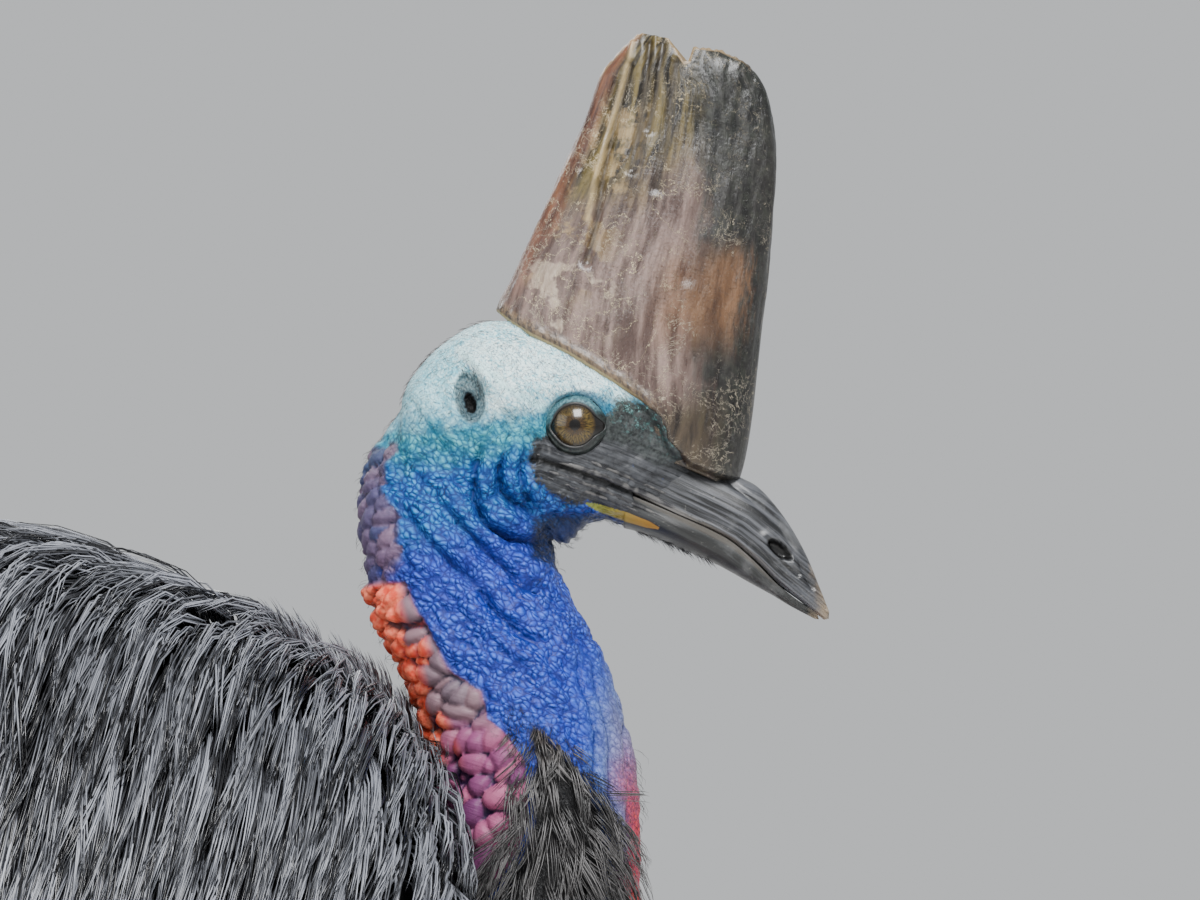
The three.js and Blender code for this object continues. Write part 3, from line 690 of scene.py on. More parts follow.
HIGHLIGHT_LINES = [  # half width and strength of painted highlights: a bright ridge in front of the ear, a pale field over the eye
    ([[-46, 30], [-42, 26], [-33.5, 20.5], [-27.6, 14.7], [-17.5, 9.5], [-13, 7]], 2.6, 1.0),
    ([[-40, 33], [-26, 27], [-12, 24], [0, 25], [9, 20]], 6.5, 0.62),
    ([[-52, -2], [-46, -8], [-36, -10]], 2.0, 0.5),
]


def skin_noise(places):
    """Smooth noise between -1 and 1 at places in space."""
    return np.array([noise.noise(place) for place in places])


lines_of_skin = skin_noise(spots * 0.06)
for line, height, half in FOLDS:
    far, share = stroke(seen + 1.6 * lines_of_skin[:, None], line)
    dome = np.sqrt(np.clip(1 - (far / (1.7 * half)) ** 2, 0, 1)) * ease(1.7 * half, half, far)
    lift += height * dome * side_on * ease(-0.05, 0.25, share) * ease(1.05, 0.8, share)
for line, deep, half in CREASES:
    far, share = stroke(seen + 1.6 * lines_of_skin[:, None], line)
    dip = bell(far, half) * side_on * ease(-0.1, 0.25, share) * ease(1.1, 0.85, share)
    lift -= deep * dip
    hollow_shade = np.maximum(hollow_shade, dip * min(deep / 3, 1))
# Down the throat the skin hangs in ropes that keep to the front outline
behind = half_deep - ((seen - front[:, [0, 2]]) * ahead).sum(1)
roped = ease(24, 17, behind) * ease(-86, -102, z) * on_neck * bare
strand = np.abs(np.sin(np.pi * (behind + 3.0 + 3.2 * lines_of_skin) / 6.6))
lift += roped * 3.4 * (np.sqrt(strand) - 0.62)
hollow_shade = np.maximum(hollow_shade, roped * ease(0.34, 0.04, strand))
# Parallel rolls sweep round the angle of the jaw: sharp valleys, round tops
jaw = np.hypot(x + 14, z + 14)
jaw_turn = np.degrees(np.arctan2(z + 14, x + 14)) % 360
jaw_zone = (ease(11, 15, jaw) * ease(44, 34, jaw) * side_on * ease(150, 172, jaw_turn)
            * ease(292, 272, jaw_turn))
roll = np.abs(np.sin(np.pi * (jaw + 3.5 * lines_of_skin) / 6.0))
lift += jaw_zone * 1.5 * (np.sqrt(roll) - 0.6)
hollow_shade = np.maximum(hollow_shade, 0.8 * jaw_zone * ease(0.3, 0.0, roll))
jowl = np.hypot(x + 16, z + 25)
lift += 2.2 * bell(jowl, 4.5) * side_on
GAPE = [[-17, -15], [-14.3, -14.3], [0, -19.5], [12, -23.5], [22, -28], [41, -37.4]]
far, share = stroke(seen, GAPE)
mouth = bell(far, 1.5) * side_on
lift -= 2.6 * mouth
# Under the throat the skin hangs in a small wrinkled pouch
sag = bell(x + 5, 9.5) * ease(-33, -43, z) * ease(-62, -52, z)
sag *= ease(18, 8, np.abs(y)) * ease(0.1, -0.4, normals[:, 2])
wrinkle = np.sin(1.5 * x + 0.35 * z + 2 * lines_of_skin)
lift += sag * (6.5 + 0.7 * wrinkle)
hollow_shade = np.maximum(hollow_shade, 0.5 * sag * ease(0.0, -0.9, wrinkle))
# The ear is a hole low in a shallow cup, with a soft rim that is thickest in front
ear_x, ear_z = x + 42.6, z - 11
cup_far = np.hypot((ear_x + 0.15 * ear_z) / 6.3, (ear_z - 0.1 * ear_x) / 10.6)
hole_far = np.hypot((ear_x + 0.8 + 0.2 * ear_z) / 3.1, (ear_z + 1.6) / 5.2)
ear_side = side_on * (x < -20)
lift += (1.7 * (1 + 0.05 * ear_x) * bell(cup_far - 1.3, 0.28) - 2.4 * ease(1.12, 0.55, cup_far)
         - 5.5 * ease(1.15, 0.6, hole_far)) * ear_side
hollow_shade = np.maximum(hollow_shade, ease(1.15, 0.75, hole_far) * ear_side)
ear_cup = ease(1.2, 0.85, cup_far) * ear_side
# A brow runs from the ear to the root of the casque
brow, _ = stroke(seen, [[-34, 17], [-16, 15.5], [0, 17.5], [16, 12], [28, 5]])
lift += 1.8 * bell(brow, 3.6) * side_on
print("folds from", lift.min().round(2), "to", lift.max().round(2), "mm")

# %% Rolls of the nape and bulbs of the lower neck
def pillow_of(t):
    """A section that leaves its crease steeply and is round on top."""
    return 1 - (1 - np.clip(t, 0, 1)) ** 2


def bulb_of(near, border):
    """A pebble that is domed from its middle and pinched at its border and corners."""
    return 0.62 * np.sqrt(np.clip(1 - (near / 0.74) ** 2, 0, 1)) + 0.38 * pillow_of(border / 0.3)


around = 40 * neck_turn
nape = ease(2.2, 2.6, neck_turn + 0.12 * np.sin(z / 9) + 0.25 * lines_of_skin) * on_neck * bare
braid = ease(-2, -12, z) * ease(-92, -78, z) * nape
slant = np.stack([around / 11.5 + 0.02 * down, (down - 0.55 * around) / 8.4], 1)
near, border, braid_number = pebbles(slant, 3)
lift += braid * (4.4 * bulb_of(near, border) - 1.6)
hollow_shade = np.maximum(hollow_shade, braid * ease(0.5, 0.15, bulb_of(near, border)))
BULB_FIELD = [[-90, -66], [-70, -64], [-58, -86], [-50, -101], [-38, -108], [-35.5, -119], [-29, -124],
              [-20, -136], [-19, -147], [-18, -159], [-23, -173], [-32, -188], [-55, -206], [-96, -226],
              [-84, -140]]
bulb_zone = np.maximum(inside(seen, BULB_FIELD, 1.6), ease(2.3, 2.5, neck_turn) * ease(-70, -80, z))
bulb_zone *= on_neck * bare * ease(-94, -87, x)
slant = np.stack([(x * 0.86 + z * 0.5) / 12.5, y / 10, (z * 0.86 - x * 0.5) / 8.0], 1)
slant += 0.16 * np.sin(slant[:, [1, 2, 0]] * 2.3)
near, border, bulb_number = pebbles(slant, 6)
lift += bulb_zone * (5.4 * bulb_of(near, border) - 2.2)
hollow_shade = np.maximum(hollow_shade, bulb_zone * ease(0.46, 0.12, bulb_of(near, border)))
print(int((bulb_zone > 0.5).sum()), "points carry bulbs")

# %% Granules
fold_way = np.stack([x * 0.8 + z * 0.6, y, z * 0.8 - x * 0.6], 1)
waver = skin_noise(spots * 0.045)
grains = fold_way / np.array([6.0, 4.2, 4.2]) + waver[:, None] * 1.2
near, border, _ = pebbles(grains, 12)
granular = bare * (1 - bulb_zone) * (1 - 0.8 * braid) * ease(60, 40, z)
granular *= (1 - np.clip(1.6 * sag, 0, 1)) * (1 - 0.5 * roped)
coarse = ease(22, -30, z)
lift += granular * (0.2 + 0.7 * coarse) * (1.4 * bulb_of(near, border) - 0.8)
hollow_shade = np.maximum(hollow_shade, granular * coarse * 0.6 * ease(0.45, 0.15, bulb_of(near, border)))
# Diagonal rolls down the neck, broken up so that none runs on for long
slope = (x * 0.57 + z * 0.82) / 5.4 + 1.5 * lines_of_skin
roll = np.abs(np.sin(np.pi * slope))
broken = ease(-0.25, 0.2, skin_noise(spots * [0.11, 0.08, 0.11] + [0, 0, 40]))
lift += granular * coarse * (0.35 + 0.65 * broken) * 1.6 * (np.sqrt(roll) - 0.65)
hollow_shade = np.maximum(hollow_shade, granular * coarse * broken * 0.8 * ease(0.32, 0.0, roll))
ropes = skin_noise(np.stack([x * 0.10 + z * 0.055, y * 0.1, z * 0.10 - x * 0.04], 1))
lift += granular * coarse * 2.2 * ropes
# The skin lies a little inside the solids it replaces, so that its folds end on their outline
moved = spots + normals * np.where(bare > 0.02, lift * bare - 0.9 * on_neck, 0)[:, None]
# Horn stands on the skin: under the casque's lower edge the skin rises to meet it, and in front
# of the lores it sinks beneath the bill
def side_reach(form, places):
    """How far out a form reaches at places seen from the side."""
    share, turn = np.meshgrid(np.linspace(0, 1, 120), np.linspace(0.02, np.pi - 0.02, 60), indexing="ij")
    sheet = form.at(share, turn).reshape(-1, 3)
    out = np.zeros(len(places))
    for part in np.array_split(np.arange(len(places)), max(len(places) // 2000, 1)):
        far = ((places[part][:, None] - sheet[None, :, [0, 2]]) ** 2).sum(-1)
        near = np.argpartition(far, 4, axis=1)[:, :4]
        weight = 1 / (np.take_along_axis(far, near, 1) + 0.01)
        out[part] = (sheet[near, 1] * weight).sum(1) / weight.sum(1)
    return out


BASE_LINE = [[-33, 47], [-26, 41.5], [-18.4, 36.7], [-2, 28.6], [14.3, 18.4], [26.5, 10.2], [34.7, 4.1],
             [38, -6.1], [46.9, -15.1], [57.1, -19.2], [66, -22]]
under = z - np.interp(x, *np.array(BASE_LINE).T)
region = (under < 6) & (under > -16) & (x > -34) & (x < 60)
flank = np.abs(moved[:, 1])
target = side_reach(Form(CASQUE, roundness=0.8), seen[region]) - 0.8
flank[region] = np.maximum(flank[region], target * ease(-15, -2, under[region]) * ease(60, 44, x[region]))
front = (x > 24) & (z > -60) & (under < 3)
past = x[front] - np.maximum(52 + 1.5 * (z[front] + 16), 27)
horn = ease(-18, -3, past) * ease(17, 28, x[front])
target = side_reach(Form(BILL_UPPER, roundness=0.9), seen[front]) + np.interp(past, [-3, 4], [0.35, -1.2])
flank[front] = flank[front] * (1 - horn) + np.minimum(flank[front] + 0.6, target) * horn
moved[:, 1] = np.sign(moved[:, 1]) * flank
underside = np.interp(x, [18, 38, 51, 61], [-41.5, -45.7, -52.2, -58.4]) + 1.6
tuck = ease(17, 23, x) * (z > -62) * (z < 0)
moved[:, 2] += np.maximum(underside - moved[:, 2], 0) * tuck
# Under the lids the skin dives behind the eyeball
BALL_OUT, BALL_ROUND = 19, 15
ball = np.hypot(x, z)
cup = BALL_OUT + np.sqrt(np.clip(BALL_ROUND**2 - ball**2, 0, None)) - 2.2
socket = ease(13.2, 10.8, ball) * (np.abs(y) > 12)
moved[:, 1] = moved[:, 1] * (1 - socket) + np.sign(y) * np.minimum(np.abs(moved[:, 1]), cup) * socket
move_spots(skin, moved)
sheet = bmesh.new()
sheet.from_mesh(skin)
bmesh.ops.smooth_vert(sheet, verts=sheet.verts, factor=0.35, use_axis_x=True, use_axis_y=True,
                      use_axis_z=True)
sheet.to_mesh(skin)
sheet.free()
for name, values in (("hollow_shade", hollow_shade), ("coated", body_skin), ("bulbs", bulb_zone), ("braid", braid),
                     ("bulb", bulb_number), ("braid_number", braid_number), ("mouth", mouth),
                     ("ear", ear_cup), ("granular", granular * coarse)):
    note(skin, name, values)
print("skin ready")

# %% [markdown]
# ## The skin's colours
# Turquoise white on the crown runs through teal on the cheek into royal blue on the neck. The
# skin in front of the eye is nearly black, the bulbs go from coral to purple, and the skin
# under the coat is painted nearly black as the shade within the coat. The zones are drawn on
# the mesh; the finish mottles their borders.

# %% Zones of colour
EDGE = [[20, -26], [41, -36.2], [54.7, -42.8], [64, -47.7], [73.5, -55.2], [83, -64.3], [92, -71.4],
        [102, -79]]
x, y, z = spots_of(skin).T
seen = np.stack([x, z], 1)
LORES = [[-17, -4], [-18, -14], [-15.5, -24], [-8, -29.5], [5, -32.5], [18, -36], [26, -40], [24, -62],
         [60, -62],
         [60, -15], [50, 0], [36, 8], [26, 10], [17, 10], [13, 4], [9, -10], [0, -12], [-10, -8]]
POUCH = [[-17, -38], [-8, -36.5], [3, -36], [10, -35.5], [28, -40], [26, -46], [16, -52], [-4, -60],
         [-18, -54]]
under_eye = ease(16.5, 13, np.hypot(x - 1, z + 1)) * ease(3, -4, z - 0.35 * x)
dark = np.maximum(inside(seen, LORES, 5.0), under_eye)
pouch = inside(seen, POUCH, 2.4) * ease(-66, -56, z - 0.5 * x)
jaw_far, _ = stroke(seen, GAPE[:4] + EDGE[1:])
highlight_lines = np.zeros(len(seen))
for line, half, strength in HIGHLIGHT_LINES:
    far, _ = stroke(seen, line)
    highlight_lines = np.maximum(highlight_lines, strength * bell(far, half))
STRIPE = [[5, -32.2], [20, -37.2], [34, -41.9]]


def stripe_on(places):
    """A thin leaf of colour, widest at its middle."""
    far, _ = stroke(places, STRIPE)
    return ease(1.25, 0.55, far / np.interp(places[:, 0], [2, 9, 21, 29, 36], [0.3, 1.7, 2.2, 1.7, 0.3]))


line = np.interp(-z, [60, 75, 112, 135, 160, 200], [-70, -66, -55, -46, -36, -30])
coral = (bulb_zone * ease(-143, -128, z + 8 * (bulb_number - 0.5))
         * ease(3, -3, x - line + 14 * (bulb_number - 0.4)))
taupe = bulb_zone * (1 - coral) * ease(-128, -112, z + 10 * (bulb_number - 0.5))
red = on_neck * bare * ease(-120, -165, z) * ease(0.75, 0.35, neck_turn + 0.12 * np.sin(z / 7))
for name, values in (("dark", dark), ("pouch", pouch), ("stripe", stripe_on(seen)), ("edge", jaw_far),
                     ("painted_highlight", highlight_lines), ("coral", coral), ("taupe", taupe), ("red", red)):
    note(skin, name, values)

# %% Skin finish
def horn_streaks(f):
    """Growth lines that follow the cutting edge, on the bill and on the horn under the eye."""
    run = f.node("ShaderNodeCombineXYZ", {}, {0: f.noted("edge") * 0.5, 1: f.y * 0.05, 2: f.x * 0.02})
    return f.grain(1.4, 6, 0.62, place=run)


def stripe_tone(f):
    return f.x.tones(4, 34, (120, 128, 48), (158, 112, 22))


f = Finish("bare skin", Roughness=0.6, Specular_IOR_Level=0.3)
mottle = f.grain(0.11, 4) - 0.5
fine = f.grain(0.9, 3)
warp = f.node("ShaderNodeTexNoise", {}, {"Vector": f.here, "Scale": 0.13, "Detail": 1.0}, out="Color")
lying = f.stretched((1.25, 1, 0.88), turn=(0, 0.6, 0))
bent = f.node("ShaderNodeVectorMath", {"operation": "MULTIPLY_ADD"}, {0: warp, 1: (5, 5, 5), 2: lying})
crumb = f.cells(0.40, "DISTANCE_TO_EDGE", bent)
small = f.cells(0.7, "DISTANCE_TO_EDGE", bent)
lumps = f.cells(0.40, "SMOOTH_F1", bent, Smoothness=0.35)
beads = f.cells(0.75, "SMOOTH_F1", bent, Smoothness=0.35)
coarse = f.noted("granular")
lined = f.grain(0.8, 3, 0.5, place=f.stretched((1, 1, 4.5), turn=(0, -0.5, 0)), Distortion=0.6)
thread = abs(lined - 0.5).between(0.028, 0.0)
even = 1 - f.noted("bulbs").or_more(f.noted("braid"))
pillow = lumps.between(0.66, 0.05) * coarse + beads.between(0.66, 0.1) * (1 - coarse) * 0.4 * even
# painted shade along the gaps between granules and along the fine wrinkle lines
valley_shade = (crumb.between(0.2, 0.02) * coarse + (small.between(0.08, 0.0) * 0.35 + thread * 0.8)
          * (1 - coarse) * even)
height = f.z + mottle * 18 - f.x * 0.1
# painted highlight: granule and bead tops are lighter, mixed with random mottle, so the skin colours below
# run from shaded to lit
lit_tops = lumps.between(0.72, 0.12) * coarse + beads.between(0.6, 0.25) * (1 - coarse) * 0.5
lit_and_mottled = lit_tops * 0.34 + fine * 0.36 + (mottle + 0.5) * 0.3
pale = lit_and_mottled.tones(0.15, 0.5, (86, 180, 200), (228, 250, 248))
teal = lit_and_mottled.tones(0.25, 0.75, (26, 118, 146), (98, 194, 204))
pale = f.blend((f.x + mottle * 24).between(-30, -62) * 0.55, pale,
               f.blend(fine, tint(58, 158, 186), tint(126, 208, 218)))
# painted highlight in near-white along the brow ridge and over the eye
pale = f.blend((f.noted("painted_highlight") + (fine - 0.5) * 0.8).between(0.25, 0.8) * 0.85, pale,
               tint(236, 252, 250))
azure = lit_and_mottled.tones(0.25, 0.8, (14, 78, 156), (52, 138, 208))
royal = lit_and_mottled.tones(0.25, 0.8, (34, 58, 166), (66, 104, 218))
steel = lit_and_mottled.tones(0.25, 0.8, (58, 88, 164), (118, 150, 214))
colour = f.blend(height.between(15, 1), pale, teal)
colour = f.blend(height.between(-3, -16), colour, azure)
colour = f.blend((height - f.x * 0.15).between(-22, -44), colour, royal)
colour = f.blend((f.x + mottle * 14 - (f.z + 100) * 0.15).between(4, 18) * f.z.between(-80, -105), colour,
                 steel)
# painted highlight, fainter and turquoise, round the same lines
colour = f.blend(f.noted("painted_highlight").between(0.3, 1.0) * 0.45, colour, tint(150, 222, 226))
# painted shade: a dark teal band just above the eye
over_eye = ((f.x - 2) ** 2 + (f.z + 1) ** 2) ** 0.5
colour = f.blend(over_eye.between(16.5, 14) * (f.z + f.x * 0.4).between(2, 9) * 0.8, colour,
                 tint(30, 104, 132))
colour = f.blend((f.x - 16).between(-10, 4) * (f.z + mottle * 22).between(-92, -128) * 0.7, colour,
                 tint(132, 126, 158))
nape_tone = f.blend(f.noted("braid_number"), tint(58, 60, 98), tint(122, 94, 110))
braided = f.noted("braid") * 1.1 + mottle * 0.4 + (f.noted("braid_number") - 0.5) * 0.5
colour = f.blend(braided.between(0.35, 0.8) * 0.9, colour, nape_tone)
mauve = f.blend(f.noted("bulb"), tint(98, 50, 94), tint(172, 92, 126))
colour = f.blend(f.noted("bulbs").between(0.3, 0.7), colour, mauve)
colour = f.blend(f.noted("taupe"), colour, f.blend(f.noted("bulb"), tint(90, 88, 102), tint(130, 102, 110)))
colour = f.blend(f.noted("coral"), colour, f.grain(0.3, 3).tones(0.35, 0.65, (216, 74, 52), (244, 128, 98)))
colour = f.blend(f.noted("red"), colour, fine.tones(0.3, 0.7, (150, 46, 88), (216, 62, 64)))
# painted shade: creases, hollows and gaps are darkened towards deep blue
shade = f.blend((f.noted("hollow_shade") * 0.95).or_more(valley_shade * 0.85), (1, 1, 1, 1), (0.07, 0.12, 0.28, 1))
colour = f.blend(1.0, colour, shade, "MULTIPLY")
horny = (f.noted("dark") * 1.4 - (f.z + f.x * 0.42 + mottle * 12).between(-10, 2)).between(0.2, 0.8)
at_bill = (f.x - f.z * 1.5 + mottle * 8).between(50, 74)
horny = horny.or_more(at_bill)
streaks = horn_streaks(f)
speckle = (small.between(0.03, 0.2) * (f.z + f.x * 0.6 + mottle * 22).between(8, 22)
           * f.grain(0.3, 3).between(0.45, 0.6))
lores = fine.tones(0.3, 0.7, (20, 24, 25), (60, 66, 64))
lores = f.blend(speckle * 0.75, lores, tint(96, 150, 148))
lores = f.blend(horny, lores, streaks.tones(0.34, 0.68, (22, 23, 26), (76, 78, 82)))
colour = f.blend((f.noted("dark") + mottle * 1.3 + (fine - 0.5) * 0.9).between(0.22, 0.72), colour, lores)
colour = f.blend(f.noted("pouch") * 0.85, colour, tint(20, 30, 40))
colour = f.blend((f.noted("stripe") + (fine - 0.5) * 0.5).between(0.4, 0.75) * 0.92, colour, stripe_tone(f))
colour = f.blend(f.noted("ear").between(0.3, 0.9) * 0.85, colour,
                 fine.tones(0.3, 0.7, (34, 46, 54), (96, 116, 122)))
# painted shade: the ear opening is darkened nearly to black
colour = f.blend(f.noted("ear") * f.noted("hollow_shade").between(0.5, 0.9), colour, tint(8, 10, 12))
colour = f.blend(f.noted("mouth"), colour, tint(14, 14, 15))
# painted shade: the skin under the coat is nearly black, the shade between the barbs
colour = f.blend(f.noted("coated").between(0.3, 0.8), colour, tint(15, 15, 17))
soft = 1 - f.noted("dark")
relief = (pillow * (0.35 + coarse * 0.65) * (0.25 + soft * 0.75) - thread * 0.25 * (1 - coarse) * even
          + f.grain(2.4, 3) * 0.14 + streaks * horny * 0.5)
skin_finish = f.finish(colour, fine.between(0.2, 0.8, 0.54, 0.7) - horny * 0.2, relief, depth=0.0012,
                       strength=0.85)
piece("skin", skin, skin_finish, "skin_blue",
      "head", "neck_upper", "neck_lower", "torso", "tail", "thigh_right", "thigh_left")

# %% [markdown]
# ## The casque
# The helmet is a tall, thin blade of horn over a spongy core. It is a loft like the skull, with
# long furrows drawn into its sides, a worn, chipped rim, and a fibrous band where it meets the
# skin. Its layers flake, so the colour needs as much care as the shape.

# %% Casque shape
casque_form = Form(CASQUE, roundness=0.8)
RIM = [[0, 128], [13.1, 146.9], [20.4, 155.1], [26.5, 160], [33.5, 161.2], [38, 158], [41.6, 152.5],
       [44.8, 147.6], [46.4, 148.2], [48.2, 154.3],
       [59.2, 153.1], [69.4, 148.2], [76.7, 140.8], [80.4, 128.6], [90, 100]]
FURROWS = [  # line, depth, half width; the one behind the ridge is the deepest
    ([[22, 147], [16, 124], [11.5, 102], [8.5, 82], [5, 66]], 3.0, 1.5),
    ([[30.5, 156], [29, 140], [26.5, 122], [23, 104]], 2.0, 1.5),
    ([[36, 156], [33.5, 138], [30, 120]], 1.7, 1.2),
    ([[41, 148], [39, 130], [36, 112], [33, 96]], 1.5, 1.6),
    ([[16, 140], [10, 122], [3, 104]], 1.3, 1.6),
    ([[52, 152], [52, 130], [50, 100], [46, 60]], 0.7, 3.0),
    ([[66, 136], [66, 90], [62, 40], [58, 0]], 0.6, 4.0),
    ([[58, 120], [57, 90], [52, 60], [48, 30]], 0.5, 2.4),
    ([[-8, 88], [-16, 60]], 0.6, 3.0),
]


def casque_relief(spots, normals, share, turn, noted):
    seen, sides = spots[:, [0, 2]], ease(0.2, 0.6, np.abs(normals[:, 1]))
    push = np.zeros(len(spots))
    for line, deep, half in FURROWS:
        far, _ = stroke(seen, line)
        push -= deep * bell(far, half) * sides
    ridge, along = stroke(seen, [[23.7, 156], [17, 130], [11.5, 112], [7.8, 98.8], [5, 84]])
    push += 1.5 * bell(ridge, 1.2) * sides * ease(1.0, 0.7, along)
    second, along = stroke(seen, [[33, 160], [31, 144], [28, 126], [25, 110]])
    push += 0.8 * bell(second, 1.1) * sides * ease(1.0, 0.6, along)
    grainy = np.array([noise.fractal(Vector((s[0] * 0.11 - s[2] * 0.028, s[1] * 0.1, s[2] * 0.014)), 0.8,
                                     2.0, 4) for s in spots])
    push += 0.8 * grainy * ease(0, 40, seen[:, 1])
    base = np.interp(seen[:, 0], *np.array(BASE_LINE).T)
    above = seen[:, 1] - base
    push += 0.9 * bell(above - 2.5, 2.0) * sides * ease(40, 24, seen[:, 0]) - 5 * ease(0.6, -3, above)
    push += 0.35 * np.sin(seen[:, 0] * 2.1 + np.sin(seen[:, 1])) * bell(above - 3, 3) * sides
    spots = spots + normals * push[:, None]
    rim = np.interp(spots[:, 0], *np.array(RIM).T)
    rim += 0.5 * np.sin(spots[:, 0] * 1.7) * np.sin(spots[:, 0] * 0.63 + 1)
    spots[:, 2] = np.minimum(spots[:, 2], rim)
    return spots


casque = as_mesh("casque", [rolled(casque_form, 190, 210, -9.5, casque_relief)])
x, y, z = spots_of(casque).T
seen = np.stack([x, z], 1)
above = z - np.interp(x, *np.array(BASE_LINE).T)
rim_far, _ = stroke(seen, RIM)
back = x - np.interp(z, [0, 34, 62, 85, 107, 126, 145, 160], [-28, -31, -26, -15, -5, 3, 11, 24])
front_edge = np.interp(z, [-26, 4, 64, 117, 135, 150], [66, 72.5, 79.5, 81.8, 78.5, 70]) - x
furrow_shade = np.zeros(len(x))
for line, deep, half in FURROWS[:4]:
    far, _ = stroke(seen, line)
    furrow_shade = np.maximum(furrow_shade, bell(far, half) * min(deep, 1))
ridge, _ = stroke(seen, [[23.7, 156], [17, 130], [11.5, 112], [7.8, 98.8], [5, 84]])
across_share = back / (back + front_edge)
for name, values in (("above", above), ("rim", rim_far), ("back", back), ("front", front_edge),
                     ("furrow_shade", furrow_shade),
                     ("across", across_share),
                     ("ridge", bell(ridge, 1.0))):
    note(casque, name, values)

# %% Casque finish
f = Finish("casque horn", Roughness=0.34, Specular_IOR_Level=0.55, Coat_Weight=0.2, Coat_Roughness=0.18)
across = f.noted("across")
run = f.node("ShaderNodeCombineXYZ", {}, {0: across * 22.0, 1: f.y * 0.1, 2: f.z * 0.035})
streak = f.grain(1.0, 7, 0.62, place=run)
thin = f.grain(3.6, 4, 0.6, place=run)
cloud = f.grain(0.035, 4)
patch = f.grain(0.05, 5, seed=7.0, rough=0.6)
mauve = streak.tones(0.36, 0.66, (70, 54, 49), (124, 103, 95))
mauve = f.blend(thin.between(0.5, 0.75) * 0.5, mauve, tint(54, 42, 36))
olive = streak.tones(0.4, 0.64, (14, 11, 4), (92, 78, 32))
colour = f.blend((f.z + cloud * 60 - across * 34).between(92, 132), mauve, olive)
blonde = (patch.between(0.52, 0.58) * across.between(0.03, 0.09) * across.between(0.42, 0.26)
          * f.z.between(44, 66))
colour = f.blend(blonde * 0.6, colour, streak.tones(0.3, 0.7, (124, 100, 60), (172, 148, 104)))
pale_patch = (f.grain(0.07, 4, seed=11.0).between(0.54, 0.6) * f.z.between(28, 40) * f.z.between(84, 60)
              * across.between(0.5, 0.3))
colour = f.blend(pale_patch * 0.75, colour, thin.tones(0.3, 0.7, (136, 118, 100), (182, 166, 148)))
rust = (across + (cloud - 0.5) * 0.1).between(0.13, 0.05) * f.z.between(40, 80)
colour = f.blend(rust * 0.85, colour, streak.tones(0.35, 0.65, (64, 35, 24), (120, 72, 48)))
slate_edge = across + (f.z - 90) * 0.0016 + (cloud - 0.5) * 0.3 + (streak - 0.5) * 0.35
slate = f.grain(0.3, 6, rough=0.65).tones(0.4, 0.66, (5, 6, 5), (28, 31, 25))
colour = f.blend(slate_edge.between(0.60, 0.74) * 0.97, colour, slate)
amber = (across.between(0.5, 0.66) * (across + (thin - 0.5) * 0.2).between(0.96, 0.86)
         * (f.z + cloud * 34 - across * 12).between(86, 66) * f.z.between(22, 48))
colour = f.blend(amber * 0.7, colour, streak.tones(0.3, 0.7, (62, 38, 22), (118, 82, 50)))
low_amber = (f.z + cloud * 14).between(26, 10) * across.between(0.45, 0.7)
colour = f.blend(low_amber * 0.85 * across.between(0.95, 0.8), colour,
                 streak.tones(0.35, 0.65, (10, 8, 3), (50, 41, 17)))
squiggle = f.grain(0.13, 6, 0.62, Distortion=1.6)
worn = f.grain(0.045, 3, seed=3.0).between(0.47, 0.6)
contour = abs(squiggle - 0.5).between(0.010, 0.003)
colour = f.blend(contour * worn * 0.6, colour, tint(196, 184, 160))
plate_edge = f.grain(0.05, 6, 0.6)
plate_line = abs(plate_edge - 0.52).between(0.004, 0.001)
colour = f.blend(plate_line * 0.7 * across.between(0.75, 0.5), colour, tint(206, 190, 156))
flakes = f.grain(0.5, 5, seed=5.0, rough=0.7).between(0.63, 0.68)
colour = f.blend(flakes * 0.5 * worn.between(0.0, 0.6, 0.35, 1.0), colour, tint(190, 176, 152))
specks = f.cells(0.5).between(0.2, 0.12) * f.grain(0.1, 2).between(0.5, 0.6)
colour = f.blend(specks * 0.5, colour, tint(34, 28, 24))
# painted shade along the deep furrows behind the ridge
colour = f.blend(f.noted("furrow_shade") * 0.85, colour, tint(34, 26, 17))
# painted highlight along the raised ridge
colour = f.blend(f.noted("ridge") * 0.55, colour, tint(196, 172, 122))
fibres = f.grain(0.9, 5, 0.65, place=f.stretched((1, 1, 3.3), turn=(0, -0.2, 0)))
band = (f.noted("above") + (fibres - 0.5) * 5).between(8, 3) * f.x.between(40, 20)
colour = f.blend(band * 0.85, colour, fibres.tones(0.38, 0.62, (36, 28, 21), (112, 92, 66)))
colour = f.blend(f.noted("above").between(1.4, 0.7) * f.noted("above").between(-1.2, 0.0) * 0.7
                 * f.x.between(34, 14), colour, tint(160, 140, 92))
colour = f.blend(f.noted("rim").between(1.2, 0.4) * 0.6 * f.x.between(74, 60), colour, tint(160, 134, 96))
gloss = streak.between(0.3, 0.7, 0.24, 0.46) + contour * 0.2 + band * 0.15
relief = (streak * 0.9 + thin * 0.35 + flakes * 0.25 + contour * 0.2 + f.grain(0.8, 5) * 0.2 + band * fibres
          * 0.8 + plate_line * 0.2)
casque_finish = f.finish(colour, gloss, relief, depth=0.0012, strength=0.6)
piece("casque_shell", casque, casque_finish, "casque_horn", "casque")

# %% [markdown]
# ## The bill
# Two halves of horn close on each other. The upper one has a rounded culmen bordered by a groove,
# slit nostrils with a raised edge and fine growth lines that follow the cutting edge to the tip.

# %% Bill shape
NOSTRIL = {"place": (83.7, -50.8), "half": (6.4, 2.8), "tilt": 0.66}


